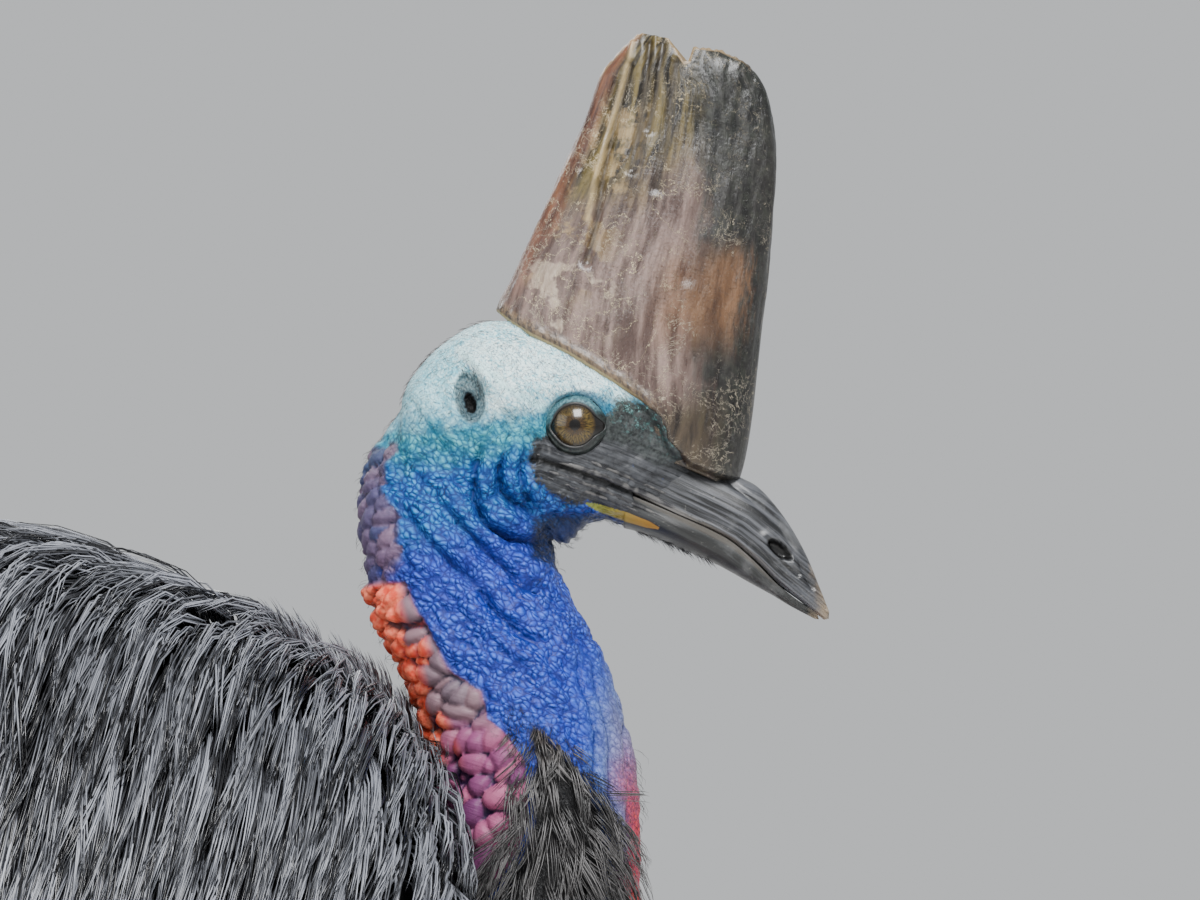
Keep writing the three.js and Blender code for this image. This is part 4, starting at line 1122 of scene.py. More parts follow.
def upper_relief(spots, normals, share, turn, noted):
    seen, sides = spots[:, [0, 2]], ease(0.2, 0.55, np.abs(normals[:, 1]))
    culmen, _ = stroke(seen, [[60, -20], [66.5, -25.7], [76.7, -34.3], [85.3, -42.9], [91.4, -55.5],
                              [97.1, -66.5]])
    push = -1.5 * bell(culmen, 1.1) * sides
    for offset, deep in ((4.0, 1.1), (6.4, 0.35), (8.6, 0.3)):
        far, _ = stroke(seen, [[px + 0.25 * offset, pz + offset] for px, pz in EDGE])
        push -= deep * bell(far, 0.7) * sides
    far, _ = stroke(seen, [[71.8, -48.6], [80.4, -55.5], [91.4, -60.8]])
    push -= 1.2 * bell(far, 1.1) * sides
    (nx, nz), (long, wide), tilt = NOSTRIL["place"], NOSTRIL["half"], NOSTRIL["tilt"]
    a, b = spots[:, 0] - nx, spots[:, 2] - nz
    along, across = a * math.cos(tilt) - b * math.sin(tilt), a * math.sin(tilt) + b * math.cos(tilt)
    slit = np.hypot(along / long, across / wide)
    push += (0.8 * bell(slit - 1.35, 0.3) - 4.2 * ease(1.05, 0.6, slit)) * sides
    return spots + normals * push[:, None]


def lower_relief(spots, normals, share, turn, noted):
    seen, sides = spots[:, [0, 2]], ease(0.2, 0.55, np.abs(normals[:, 1]))
    push = np.zeros(len(spots))
    for offset, deep in ((-2.4, 0.5), (-4.6, 0.3)):
        far, _ = stroke(seen, [[px, pz + offset] for px, pz in EDGE])
        push -= deep * bell(far, 0.7) * sides
    under = ease(0.1, -0.6, normals[:, 2])
    push += 2.4 * bell(spots[:, 0] - 42, 13) * under
    # The upper rim tucks in behind the edge of the upper half, so the closed bill shows no gap
    return spots + normals * push[:, None] + np.stack([0 * push, -0.6 * normals[:, 1],
                                                       1.7 * ease(0.1, 0.8, normals[:, 2])], 1)


LOWER_TIP = [[98.0, -79.2, 98.6, -78.0, 0.8, 0.8]]
bill_upper = as_mesh("bill", [rolled(Form(BILL_UPPER, roundness=0.9), 110, 190, 1.5, upper_relief)])
bill_lower = as_mesh("bill", [rolled(Form(BILL_LOWER[:-1] + LOWER_TIP, roundness=0.9), 80, 150, 1.5,
                                     lower_relief)])
for mesh, over in ((bill_upper, 1), (bill_lower, -1)):
    x, y, z = spots_of(mesh).T
    seen = np.stack([x, z], 1)
    far, _ = stroke(seen, EDGE)
    a, b = x - NOSTRIL["place"][0], z - NOSTRIL["place"][1]
    tilt = NOSTRIL["tilt"]
    slit = np.hypot((a * math.cos(tilt) - b * math.sin(tilt)) / 6.4,
                    (a * math.sin(tilt) + b * math.cos(tilt)) / 2.8)
    note(mesh, "edge", far)
    note(mesh, "nostril", ease(1.15, 0.8, slit) if over > 0 else 0 * x)
    note(mesh, "stripe", stripe_on(seen) if over < 0 else 0 * x)
    note(mesh, "lower", 0 * x + (over < 0))
    note(mesh, "tip", ease(84, 104, x))

# %% Bill finish
f = Finish("bill horn", Roughness=0.36, Specular_IOR_Level=0.55, Coat_Weight=0.1, Coat_Roughness=0.34)
streak = horn_streaks(f)
mottle = f.grain(0.12, 5)
colour = streak.tones(0.38, 0.64, (14, 15, 17), (80, 82, 87))
# painted shade: the lower half of the bill is much darker, as under the upper half
colour = f.blend(f.noted("lower") * 0.9, colour, streak.tones(0.34, 0.7, (6, 7, 7), (27, 30, 28)))
colour = f.blend((f.x - f.z * 1.5).between(100, 78) * 0.5, colour,
                 streak.tones(0.34, 0.68, (18, 19, 21), (60, 62, 64)))
colour = f.blend(mottle.between(0.5, 0.68) * 0.3 * f.x.between(50, 66), colour, tint(104, 105, 106))
colour = f.blend(f.noted("edge").between(2.6, 1.2) * 0.4 * f.x.between(88, 70), colour, tint(112, 106, 98))
colour = f.blend((f.noted("tip") + (mottle - 0.5)).between(0.5, 1.0) * 0.7, colour,
                 streak.tones(0.4, 0.6, (88, 76, 62), (142, 124, 100)))
colour = f.blend(f.grain(0.7, 4, seed=4.0).between(0.62, 0.7) * 0.15, colour, tint(150, 148, 142))
colour = f.blend((f.noted("stripe") + (mottle - 0.5) * 0.5).between(0.4, 0.75) * 0.92, colour, stripe_tone(f))
# painted shade: the inside of the nostril slit is near black
colour = f.blend(f.noted("nostril"), colour, tint(10, 10, 11))
bill_finish = f.finish(colour, streak.between(0.3, 0.7, 0.3, 0.44) + f.noted("lower") * 0.12,
                       streak + f.grain(1.6, 3) * 0.3, depth=0.0006, strength=0.5)
piece("bill_top", bill_upper, bill_finish, "bill_horn", "bill_upper")
piece("bill_bottom", bill_lower, bill_finish, "bill_horn", "bill_lower")

# %% [markdown]
# ## Eyes and lids
# An eyeball is a real ball set deep in its socket, most of it hidden. The iris is drawn by the
# distance from its axis, and a clear coat gives the wet shine. The lids are rings that follow
# the ball and sink their outer edge under the skin, so the opening has a crisp edge.

# %% Eyeballs
f = Finish("iris", Roughness=0.22, Specular_IOR_Level=0.3, Coat_Weight=0.4, Coat_Roughness=0.03)
from_axis = (f.x * f.x + f.z * f.z) ** 0.5
spin = f.node("ShaderNodeMath", {"operation": "ARCTAN2"}, {0: f.z, 1: f.x})
rays = f.node("ShaderNodeTexNoise", {"noise_dimensions": "2D"}, {
    "Vector": f.node("ShaderNodeCombineXYZ", {}, {0: spin * 7.0,
                                                  1: from_axis * 0.35}), "Scale": 1.6, "Detail": 4.0})
amber = rays.tones(0.32, 0.68, (42, 33, 12), (88, 72, 33))
colour = f.blend(from_axis.between(3.4, 5.4), rays.tones(0.3, 0.7, (32, 22, 9), (62, 45, 20)), amber)
colour = f.blend(from_axis.between(6.6, 8.2) * 0.85, colour, tint(40, 30, 14))
colour = f.blend(from_axis.between(7.9, 8.7), colour, tint(18, 16, 15))
colour = f.blend(from_axis.between(2.7, 1.9), colour, tint(10, 8, 7))
# painted shadow of the upper lid across the top of the iris
colour = f.blend((f.z - f.x * 0.2).between(3.5, 8.5) * 0.6, colour, tint(30, 24, 18))
eye_finish = f.finish(colour)
for name, side in SIDES:
    ball = bmesh.new()
    bmesh.ops.create_uvsphere(ball, u_segments=56, v_segments=40, radius=15)
    bmesh.ops.rotate(ball, verts=ball.verts, matrix=Matrix.Rotation(math.pi / 2, 3, "X"))
    for vert in ball.verts:
        bulge = 0.7 * max(0, 1 - math.hypot(vert.co.x, vert.co.z) / 8.5) ** 0.5
        vert.co.y += (19 + bulge * (vert.co.y > 0) * (side > 0)) * (1 if side > 0 else 0)
        if side < 0:
            vert.co.y -= 19 + bulge * (vert.co.y < 0)
    piece("eyeball_" + name, as_mesh("eyeball", [ball]), eye_finish, "eye", "eye_" + name)

# %% Lids
tree_mesh = bmesh.new()
tree_mesh.from_mesh(skin)
skin_tree = BVHTree.FromBMesh(tree_mesh)
tree_mesh.free()


def skin_side(px, pz, side):
    """How far out the skin lies at a place seen from the side."""
    start = Vector(((px + EYE[0]) / 1000, EYE[1] / 1000 + side * 0.4, (pz + EYE[2]) / 1000))
    hit, _, _, _ = skin_tree.ray_cast(start, Vector((0, -side, 0)))
    return abs(hit.y * 1000 - EYE[1]) if hit else 25.0


f = Finish("lid", Roughness=0.42, Specular_IOR_Level=0.5)
upper = (f.z - f.x * 0.25).between(1, 6)
colour = f.grain(0.8, 3).tones(0.35, 0.65, (14, 17, 17), (38, 46, 44))
colour = f.blend(upper * 0.85, colour, f.grain(0.9, 3).tones(0.35, 0.65, (40, 76, 86), (92, 136, 144)))
colour = f.blend(f.noted("margin"), colour, tint(16, 17, 17))
lid_finish = f.finish(colour, 0.4, f.grain(2.5, 3), depth=0.0003, strength=0.5)
for name, side in SIDES:
    grid = bmesh.new()
    columns, rows = 120, 16
    bmesh.ops.create_grid(grid, x_segments=columns, y_segments=rows, size=0.5)
    for vert in grid.verts:
        turn, across = 2 * math.pi * (vert.co.x + 0.5), vert.co.y + 0.5
        corner = 3.6 * math.exp(-((math.remainder(turn + 0.05, 2 * math.pi) / 0.32) ** 2))
        corner += 1.2 * math.exp(-((math.remainder(turn - math.pi - 0.1, 2 * math.pi) / 0.3) ** 2))
        opening = 8.8 + corner - 0.7 * max(0, math.sin(turn))
        reach = opening - 0.5 + (14.6 - opening + 0.8 * corner) * across
        px, pz = reach * math.cos(turn), reach * math.sin(turn)
        ball = BALL_OUT + math.sqrt(max(BALL_ROUND**2 - min(reach, 14) ** 2, 0))
        rise = 1.7 * math.sin(min(across * 4.2, 1) * math.pi / 2) - 0.7
        fold = (0.35 * math.sin(across * 15) * (0.4 + 0.6 * (math.sin(turn) < 0.2))
                * math.exp(-((across - 0.5) / 0.3) ** 2))
        pleat = 0.12 * math.sin(turn * 46 + 3 * across) * math.exp(-(((across - 0.45) / 0.25) ** 2))
        low = skin_side(px, pz, side) - 0.9
        t = min(max((across - 0.45) / 0.5, 0), 1)
        t = t * t * (3 - 2 * t)
        vert.co = (px, side * ((ball + rise + fold + pleat) * (1 - t) + low * t), pz)
    mesh = bpy.data.meshes.new("lid")
    bmesh.ops.remove_doubles(grid, verts=grid.verts, dist=1e-4)
    bmesh.ops.recalc_face_normals(grid, faces=grid.faces)
    if sum(face.normal.y * side for face in grid.faces) < 0:
        bmesh.ops.reverse_faces(grid, faces=grid.faces)
    grid.to_mesh(mesh)
    grid.free()
    lx, _, lz = spots_of(mesh).T
    note(mesh, "margin", ease(10.0, 9.2, np.hypot(lx, lz)))
    piece("lid_" + name, mesh, lid_finish, "skin_pale")

# %% [markdown]
# ## Ridges of the gape
# The horn of the bill runs back under the eye as thin parallel ridges either side of the black
# line of the mouth. Each is a tapering strand laid along the cheek and on to the bill.

# %% Gape ridges
horn_tree = bmesh.new()
for mesh in (skin, bill_upper, bill_lower):
    horn_tree.from_mesh(mesh)
horn_bvh = BVHTree.FromBMesh(horn_tree)
horn_tree.free()


def route_at(route, far):
    """A smooth curve through a few points, at shares of its length."""
    x = far * (len(route) - 1)
    i = np.minimum(x.astype(int), len(route) - 2)
    p = (x - i)[:, None]
    a, b, c, d = (route[np.clip(i + k, 0, len(route) - 1)] for k in (-1, 0, 1, 2))
    return 0.5 * (2 * b + (c - a) * p + (2 * a - 5 * b + 4 * c - d) * p**2 + (3 * b - a - 3 * c + d) * p**3)


def tube(route, radius, columns, rows, taper=0.75, fade=0.0):
    """A closed, tapering tube along a route."""
    grid = bmesh.new()
    bmesh.ops.create_grid(grid, x_segments=columns, y_segments=rows, size=0.5)
    flat = np.array([vert.co for vert in grid.verts])
    far, turn = flat[:, 1] + 0.5, 2 * np.pi * flat[:, 0]
    middle = route_at(route, far)
    way = route_at(route, np.clip(far + 0.01, 0, 1)) - route_at(route, np.clip(far - 0.01, 0, 1))
    way /= np.linalg.norm(way, axis=1, keepdims=True)
    side = np.cross(way, [0.0, 1.0, 0.0])
    side /= np.linalg.norm(side, axis=1, keepdims=True)
    size = radius * (1 - taper * far**1.5) * (1 - fade * (1 - far) ** 3)
    size = size * np.where((far < 1e-6) | (far > 1 - 1e-6), 0.0, 1.0)
    spots = middle + size[:, None] * (side * np.cos(turn)[:, None] + np.cross(way, side)
                                      * np.sin(turn)[:, None])
    for vert, spot in zip(grid.verts, spots):
        vert.co = spot
    bmesh.ops.remove_doubles(grid, verts=grid.verts, dist=1e-4)
    bmesh.ops.recalc_face_normals(grid, faces=grid.faces)
    return grid


GAPE_RIDGES = [  # side-view line, radius, how far its middle stands out
    ([[-16, -11.8], [0, -16.8], [12, -20.8], [22, -25.2], [32, -29.8], [41, -34.2], [52, -39.6]], 1.9, -0.5),
    ([[-6, -10.6], [10, -16.4], [24, -22.2], [38, -28.4]], 1.1, -0.4),
    ([[-16, -17.2], [0, -22.4], [12, -26.6], [22, -31.2], [36, -37.6]], 1.6, -0.5),
    ([[-12, -21], [2, -26.2], [14, -30.4], [28, -36.2]], 1.0, -0.4),
]
f = Finish("gape horn", Roughness=0.4, Specular_IOR_Level=0.5)
tone = f.grain(0.25, 4)
gape_finish = f.finish(tone.tones(0.4, 0.62, (40, 40, 43), (86, 85, 84)), 0.36, f.grain(1.4, 4),
                       depth=0.0004, strength=0.4)
for name, side in SIDES:
    grids = []
    for line, radius, out in GAPE_RIDGES:
        route = route_at(np.array(line), np.linspace(0, 1, 26))
        depth = []
        for px, pz in route:
            start = Vector(((px + EYE[0]) / 1000, EYE[1] / 1000 + side * 0.4, (pz + EYE[2]) / 1000))
            hit, _, _, _ = horn_bvh.ray_cast(start, Vector((0, -side, 0)))
            depth.append(abs(hit.y * 1000 - EYE[1]))
        even = np.convolve(np.pad(depth, 3, mode="edge"), np.ones(7) / 7, "valid")
        middle = np.stack([route[:, 0], side * (even + out), route[:, 1]], 1)
        grids.append(tube(middle, radius, 12, 80, 0.75, fade=0.8))
    piece("gape_" + name, as_mesh("gape", grids), gape_finish, "bill_horn")

# %% [markdown]
# ## The coat
# Cassowary plumage hangs like coarse hair: each feather is a spray of long, glossy, separate
# barbs. One barb is modelled once, as a thin three-sided blade, and its copies are bent along
# paths that walk over the body's form from root to tip, rising from the skin to the coat's outside.

# %% One barb
def barb(rows):
    """A blade's points as (row, corner) and its faces, from a small rolled grid."""
    grid = bmesh.new()
    bmesh.ops.create_grid(grid, x_segments=3, y_segments=rows, size=0.5)
    row = np.array([round((vert.co.y + 0.5) * rows) for vert in grid.verts])
    turn = np.array([2 * math.pi * (vert.co.x + 0.5) for vert in grid.verts])
    for vert, r, t in zip(grid.verts, row, turn):
        size = 0 if r in (0, rows) else 1
        vert.co = (size * math.cos(t), size * math.sin(t), r)
    bmesh.ops.remove_doubles(grid, verts=grid.verts, dist=1e-4)
    bmesh.ops.dissolve_degenerate(grid, edges=grid.edges, dist=1e-5)
    bmesh.ops.triangulate(grid, faces=grid.faces)
    bmesh.ops.recalc_face_normals(grid, faces=grid.faces)
    points = np.array([vert.co for vert in grid.verts])
    faces = np.array([[vert.index for vert in face.verts] for face in grid.faces])
    grid.free()
    return points, faces


def barbs(name, paths, normals, width, thick, roots, tone, slim=0.8):
    """Copies of one barb bent along many paths, as one mesh with its own OFBake map."""
    count, rows = paths.shape[0], paths.shape[1] - 1
    points, faces = barb(rows)
    row, corner = np.rint(points[:, 2]).astype(int), points[:, :2]
    way = np.gradient(paths, axis=1)
    way /= np.linalg.norm(way, axis=2, keepdims=True) + 1e-9
    across = np.cross(normals, way)
    across /= np.linalg.norm(across, axis=2, keepdims=True) + 1e-9
    over = np.cross(way, across)
    far = np.linspace(0, 1, rows + 1)
    taper = np.clip(1.25 * (1 - far**2.2) ** slim, 0.05, 1) * np.clip(far * 6 + 0.35, 0, 1)
    half = 0.5 * width[:, None] * taper[None, :]
    flat = 0.5 * thick[:, None] * taper[None, :]
    spots = (paths[:, row] + across[:, row] * (half[:, row] * corner[:, 1])[..., None]
             + over[:, row] * (flat[:, row] * corner[:, 0])[..., None])
    mesh = bpy.data.meshes.new(name)
    total, corners = count * len(faces), count * len(faces) * 3
    mesh.vertices.add(count * len(points))
    mesh.loops.add(corners)
    mesh.polygons.add(total)
    mesh.vertices.foreach_set("co", spots.astype(np.float32).ravel())
    index = (faces[None] + np.arange(count)[:, None, None] * len(points)).ravel()
    mesh.loops.foreach_set("vertex_index", index.astype(np.int32))
    mesh.polygons.foreach_set("loop_start", np.arange(0, corners, 3, dtype=np.int32))
    mesh.update(calc_edges=True)
    patch = roots[:, None] + 0.003 * np.stack([corner[:, 1] * 0.5 + 0.5, row / rows], 1)[None]
    layer = mesh.uv_layers.new(name="OFBake")
    layer.data.foreach_set("uv", patch.reshape(-1, 2)[index].astype(np.float32).ravel())
    note(mesh, "tone", np.repeat(tone, len(points)))
    note(mesh, "along", np.tile(row / rows, count))
    return mesh


def on_skin_map(share, turn):
    return np.stack([0.002 + 0.99 * (turn / (2 * np.pi) % 1), 0.002 + 0.99 * share], 1)


print("one barb has", len(barb(6)[1]), "faces")

# %% [markdown]
# ## Laying the barbs
# Feathers are rooted evenly over the skin's area. Each spreads its barbs over a few millimetres
# and shares one lie with small differences, so that the coat parts into locks with dark gaps.

# %% Rooting and laying
def rooted(rng, form, count, shares, turns, keep=None):
    """Evenly scattered shares and turns over the area of a part of a form."""
    many = count * 12
    share, turn = rng.uniform(*shares, many), rng.uniform(*turns, many)
    _, along, round_, _ = form.frame(share, turn)
    area = np.linalg.norm(np.cross(along, round_), axis=1)
    take = rng.random(many) < area / area.max()
    if keep is not None:
        take &= keep(form.at(share, turn), share, turn)
    share, turn = share[take][:count], turn[take][:count]
    return share, turn


def feathers(rng, form, share, turn, spread, barbs_each, heading, length, rows, width, thick, rise, sink,
             stray=0.06, tip_drop=0.0, draw_in=0.55, quick_rise=2.8, hang=0.0):
    """Sprays of barbs over a form. A feather's barbs keep to its own path and draw in at its tip."""
    count = len(share)
    lie = rng.normal(0, stray, count)

    def way(place, sh, tu):
        base, c, d = heading(place, sh, tu), np.cos(lie), np.sin(lie)
        return np.stack([base[:, 0] * c - base[:, 2] * d, base[:, 1], base[:, 0] * d + base[:, 2] * c], 1)

    reach = (np.broadcast_to(length(share) if callable(length) else length, (count,))
             * rng.uniform(0.82, 1.18, count))
    places, normals = form.walk(share, turn, way, reach, rows)
    way_on = np.gradient(places, axis=1)
    across = np.cross(normals, way_on)
    across /= np.linalg.norm(across, axis=2, keepdims=True) + 1e-9
    up = ((rise(share, turn) if callable(rise) else np.full(count, float(rise)))
          * (1 + rng.uniform(-0.14, 0.08, count)))
    pick = np.repeat(np.arange(count), barbs_each)
    n = len(pick)
    far = np.linspace(0, 1, rows + 1)[None]
    lane = np.tile(np.linspace(-1, 1, barbs_each), count) + rng.normal(0, 0.22, n)
    shift = rng.uniform(-0.16, 0.10, n)  # how much sooner or later a barb ends than its feather
    bend = (rng.normal(0, 0.06, count) * reach)[pick]
    offset = (bend[:, None] * far**2 + spread * lane[:, None] * (1 - draw_in * far**0.8) + spread * 0.5
              * rng.normal(0, 1, n)[:, None] * far**2 * 0.5)
    height = -sink + (up[pick] + sink)[:, None] * (1 - (1 - far) ** quick_rise) - tip_drop * far**4
    height = (height + 0.5 * spread * (0.6 - lane[:, None] ** 2) * np.sin(far * np.pi)
              + rng.normal(0, 0.35, n)[:, None] * far * 1.6)
    laid = (places[pick] + way_on[pick] * rows * shift[:, None, None] * far[..., None]
            + across[pick] * offset[..., None] + normals[pick] * height[..., None])
    # Low on the flanks the tips leave the body and hang free
    low = ease(0.1, -0.7, normals[pick, -1, 2]) * rng.uniform(0.3, 1.0, n)
    laid[..., 2] -= hang * low[:, None] * far**2.2
    widths = width * rng.uniform(0.7, 1.2, n)
    tone = np.clip(0.6 * rng.random(count)[pick] + 0.4 * rng.random(n), 0, 1)
    at = form.frame(share, turn)
    step = np.linalg.norm(at[2], axis=1)
    roots = on_skin_map(np.clip(share[pick], 0, 1), turn[pick] + spread * lane / step[pick])
    return laid, normals[pick], widths, widths * thick, roots, tone


def coat_pieces(name, batches, finish):
    """Splits laid barbs into pieces that stay under 200,000 triangles."""
    joined_up = [np.concatenate([batch[i] for batch in batches]) for i in range(6)]
    each = len(barb(joined_up[0].shape[1] - 1)[1])
    most = 190000 // each
    parts = math.ceil(len(joined_up[0]) / most)
    order = np.argsort(joined_up[4][:, 1], kind="stable")
    for i, chosen in enumerate(np.array_split(order, parts)):
        mesh = barbs(name, *[values[chosen] for values in joined_up])
        piece(f"{name}_{i + 1}", mesh, finish, "plumage")


# %% Plumage finish
f = Finish("plumage", Roughness=0.36, Specular_IOR_Level=0.65)
f_tone = f.noted("tone")
# each barb's tone differs at random; its light greys are painted sheen on black barbs
colour = f_tone.tones(0.2, 0.95, (18, 18, 21), (150, 153, 162))
# painted shade: the root half of each barb, deep in the coat, is near black
colour = f.blend(f.noted("along").between(0.42, 0.1) * 0.8, colour, tint(14, 14, 17))
colour = f.blend(f.noted("along").between(0.88, 1.0) * 0.5, colour, tint(30, 30, 33))
plumage_finish = f.finish(colour, f_tone.between(0.0, 1.0, 0.24, 0.36))
f = Finish("neck down", Roughness=0.45, Specular_IOR_Level=0.55)
# each feather's tone differs at random; its light greys are painted sheen
colour = f.noted("tone").tones(0.1, 0.95, (24, 24, 25), (112, 110, 110))
colour = f.blend((f.z + (f.noted("tone") - 0.5) * 14).between(-140, -118) * 0.7, colour, tint(96, 82, 74))
# painted shade: the roots of the neck feathers are near black
colour = f.blend(f.noted("along").between(0.45, 0.1) * 0.75, colour, tint(14, 14, 14))
neck_down_finish = f.finish(colour, 0.36)
print("plumage finishes made")

# %% Body coat
rng = np.random.default_rng(11)


def fall_way(place, share, turn):
    """Backwards along the ridge of the back, and ever steeper down the flanks."""
    level = ease(0.62, 0.05, np.abs(np.sin(turn)))
    back = 0.26 + 0.56 * level + 0.3 * np.clip(share - 0.4, 0, 1) - 0.3 * ease(0.2, 0.06, share) * (1 - level)
    return np.stack([-back, 0.9 * np.clip(np.sin(turn) * 3, -1, 1), -1.0 + 0.2 * level], 1)


def coat_rise(share, turn):
    return COAT - 3.0 + 7.5 * ease(0.9, 0.2, np.abs(turn)) - 4 * ease(0.8, 1.0, share)


def belly_way(place, share, turn):
    return np.tile([-1.0, 0.0, -0.4], (len(share), 1))


def breast_way(place, share, turn):
    return np.tile([-0.35, 0.0, -1.0], (len(share), 1))


def ridge_way(place, share, turn):
    return np.stack([-np.ones(len(share)), 0.5 * np.sin(turn), -0.3 + 0 * share], 1)


shoulder = rooted(rng, core, 6150, (0.02, 0.47), (-2.3, 2.3))
edge = rooted(rng, core, 900, (0.012, 0.13), (-2.2, 2.2))
flank = rooted(rng, core, 2300, (0.44, 0.985), (-2.5, 2.5))
belly = rooted(rng, core, 330, (0.06, 0.92), (2.25, 4.03))
shoulder_coat = feathers(rng, core, *shoulder, 3.0, 5, fall_way, lambda s: 44 + 36 * ease(0.2, 0.47, s), 4,
                         1.15, 0.7,
                         coat_rise, 3, stray=0.07, tip_drop=2.5, draw_in=0.75, quick_rise=3.6)
edge_coat = feathers(rng, core, *edge, 2.0, 5, fall_way, 30.0, 4, 1.0, 0.7, coat_rise, 3, stray=0.09,
                     tip_drop=3.0, quick_rise=3.6)
flank_coat = feathers(rng, core, *flank, 6.0, 7, fall_way, 112.0, 4, 2.0, 0.55, coat_rise, 4, stray=0.14,
                      tip_drop=3.0,
                      quick_rise=3.6, hang=34.0)
belly_coat = feathers(rng, core, *belly, 9.0, 8, belly_way, 90.0, 4, 3.0, 0.5, COAT - 6, 4, stray=0.2,
                      hang=22.0)
breast = rooted(rng, core, 420, (0.004, 0.13), (2.0, 4.28))
breast_coat = feathers(rng, core, *breast, 3.0, 5, breast_way, 46.0, 4, 1.5, 0.7, lambda s,
                       t: COAT - 3.0 + 0 * s, 3,
                       stray=0.12, tip_drop=3.0, draw_in=0.75, quick_rise=3.6)
crest = rooted(rng, core, 640, (0.05, 0.42), (-0.6, 0.6))
crest_coat = feathers(rng, core, *crest, 3.0, 5, fall_way, 50.0, 4, 1.15, 0.7, lambda s,
                      t: coat_rise(s, t) - 2.0, 3,
                      stray=0.07, tip_drop=2.0, draw_in=0.75, quick_rise=3.6)
ruff = rooted(rng, core, 420, (0.02, 0.36), (-0.2, 0.2))
ruff_coat = feathers(rng, core, *ruff, 1.4, 3, ridge_way, 17.0, 4, 0.95, 0.7,
                     lambda s, t: COAT + 3 + rng.uniform(0, 4, len(s)) + 2.0 * ease(0.24, 0.14, s), -6,
                     stray=0.22, quick_rise=1.3)
print(len(shoulder[0]), "shoulder feathers,", len(flank[0]), "on the flanks")
coat_pieces("coat_body", [shoulder_coat, edge_coat, flank_coat, belly_coat, breast_coat, crest_coat,
                          ruff_coat], plumage_finish)

# %% [markdown]
# ## Feathers of the neck and the thighs
# Down each side of the lower neck lies a tongue of short, fine, brownish feathers that fan out from
# its tip. The thighs are clothed like the body, to just above the heel.

# %% Neck tongue
tongue = [[-26, -113], [-27, -124], [-24, -136], [-26, -147], [-25, -157], [-32, -170], [-40, -181],
          [-60, -194],
          [-84, -235], [-110, -300], [18, -300], [20, -240], [14, -200], [14, -180], [15, -168], [13, -154],
          [5, -140],
          [-5, -128], [-19, -117]]


def on_tongue(places, share, turn):
    return (inside(places[:, [0, 2]], tongue, 1.5) > 0.5) & (np.abs(np.sin(turn)) > 0.3)


def fan_way(place, share, turn):
    side = np.sign(np.sin(turn))
    return np.stack([0.6 * np.clip((place[:, 0] + 16) / 26, -1.6, 1.0), 0.1 * side, -np.ones(len(share))], 1)


flesh_form = Form(NECK, -2.0, roundness=0.95)
roots = rooted(rng, flesh_form, 2400, (0.42, 0.97), (-np.pi, np.pi), on_tongue)
tongue_coat = feathers(rng, flesh_form, *roots, 1.9, 5, fan_way, lambda s: 9 + 29 * ease(0.46, 0.74, s), 4,
                       0.5, 0.65,
                       lambda s, t: 2.0 + 8.5 * ease(0.46, 0.72, s), 1.2, stray=0.26, draw_in=0.1)
coat_pieces("coat_neck", [tongue_coat], neck_down_finish)

# %% Thigh coats
for name, side in SIDES:
    form = thigh_forms[name]
    roots = rooted(rng, form, 480, (0.08, 0.86), (-np.pi, np.pi))
    laid = feathers(rng, form, *roots, 4.5, 8, lambda p, s, t: np.tile([-0.15, 0.0, -1.0], (len(s), 1)),
                    78.0, 4, 2.0, 0.5,
                    6.5, 2, stray=0.12, tip_drop=2.0, hang=14.0)
    coat_pieces("coat_thigh_" + name, [laid], plumage_finish)

# %% [markdown]
# ## Hairs of the head
# The naked skin isn't quite naked: fine black bristles stand on the crown, round the ear and in
# front of the eye, and longer ones hang under the bill and among the bulbs of the nape.

# %% Bristles
skin_spots, skin_normals = spots_of(skin) * 1000 - EYE, normals_of(skin)


def bristles(name, rng, where, count, heading, length, lift, width):
    chosen = rng.choice(np.nonzero(where)[0], count, replace=False)
    place, normal = skin_spots[chosen], skin_normals[chosen]
    way = np.array(heading, float) + rng.normal(0, 0.35, (count, 3))
    way -= (way * normal).sum(1, keepdims=True) * normal
    way /= np.linalg.norm(way, axis=1, keepdims=True)
    far = np.linspace(0, 1, 4)[None, :, None]
    reach = (length * rng.uniform(0.6, 1.3, count))[:, None, None]
    paths = (place[:, None] + way[:, None] * reach * far + normal[:, None]
             * (lift * reach * np.sin(far * 2.2) - 0.3))
    normals = np.repeat(normal[:, None], 4, 1)
    side = rng.uniform(0, 1, count)
    roots = on_skin_map(np.clip(0.5 - place[:, 2] / 800, 0, 1), np.arctan2(place[:, 1], place[:, 0] + 20))
    widths = width * rng.uniform(0.7, 1.2, count)
    return paths, normals, widths, widths * 0.9, roots, side


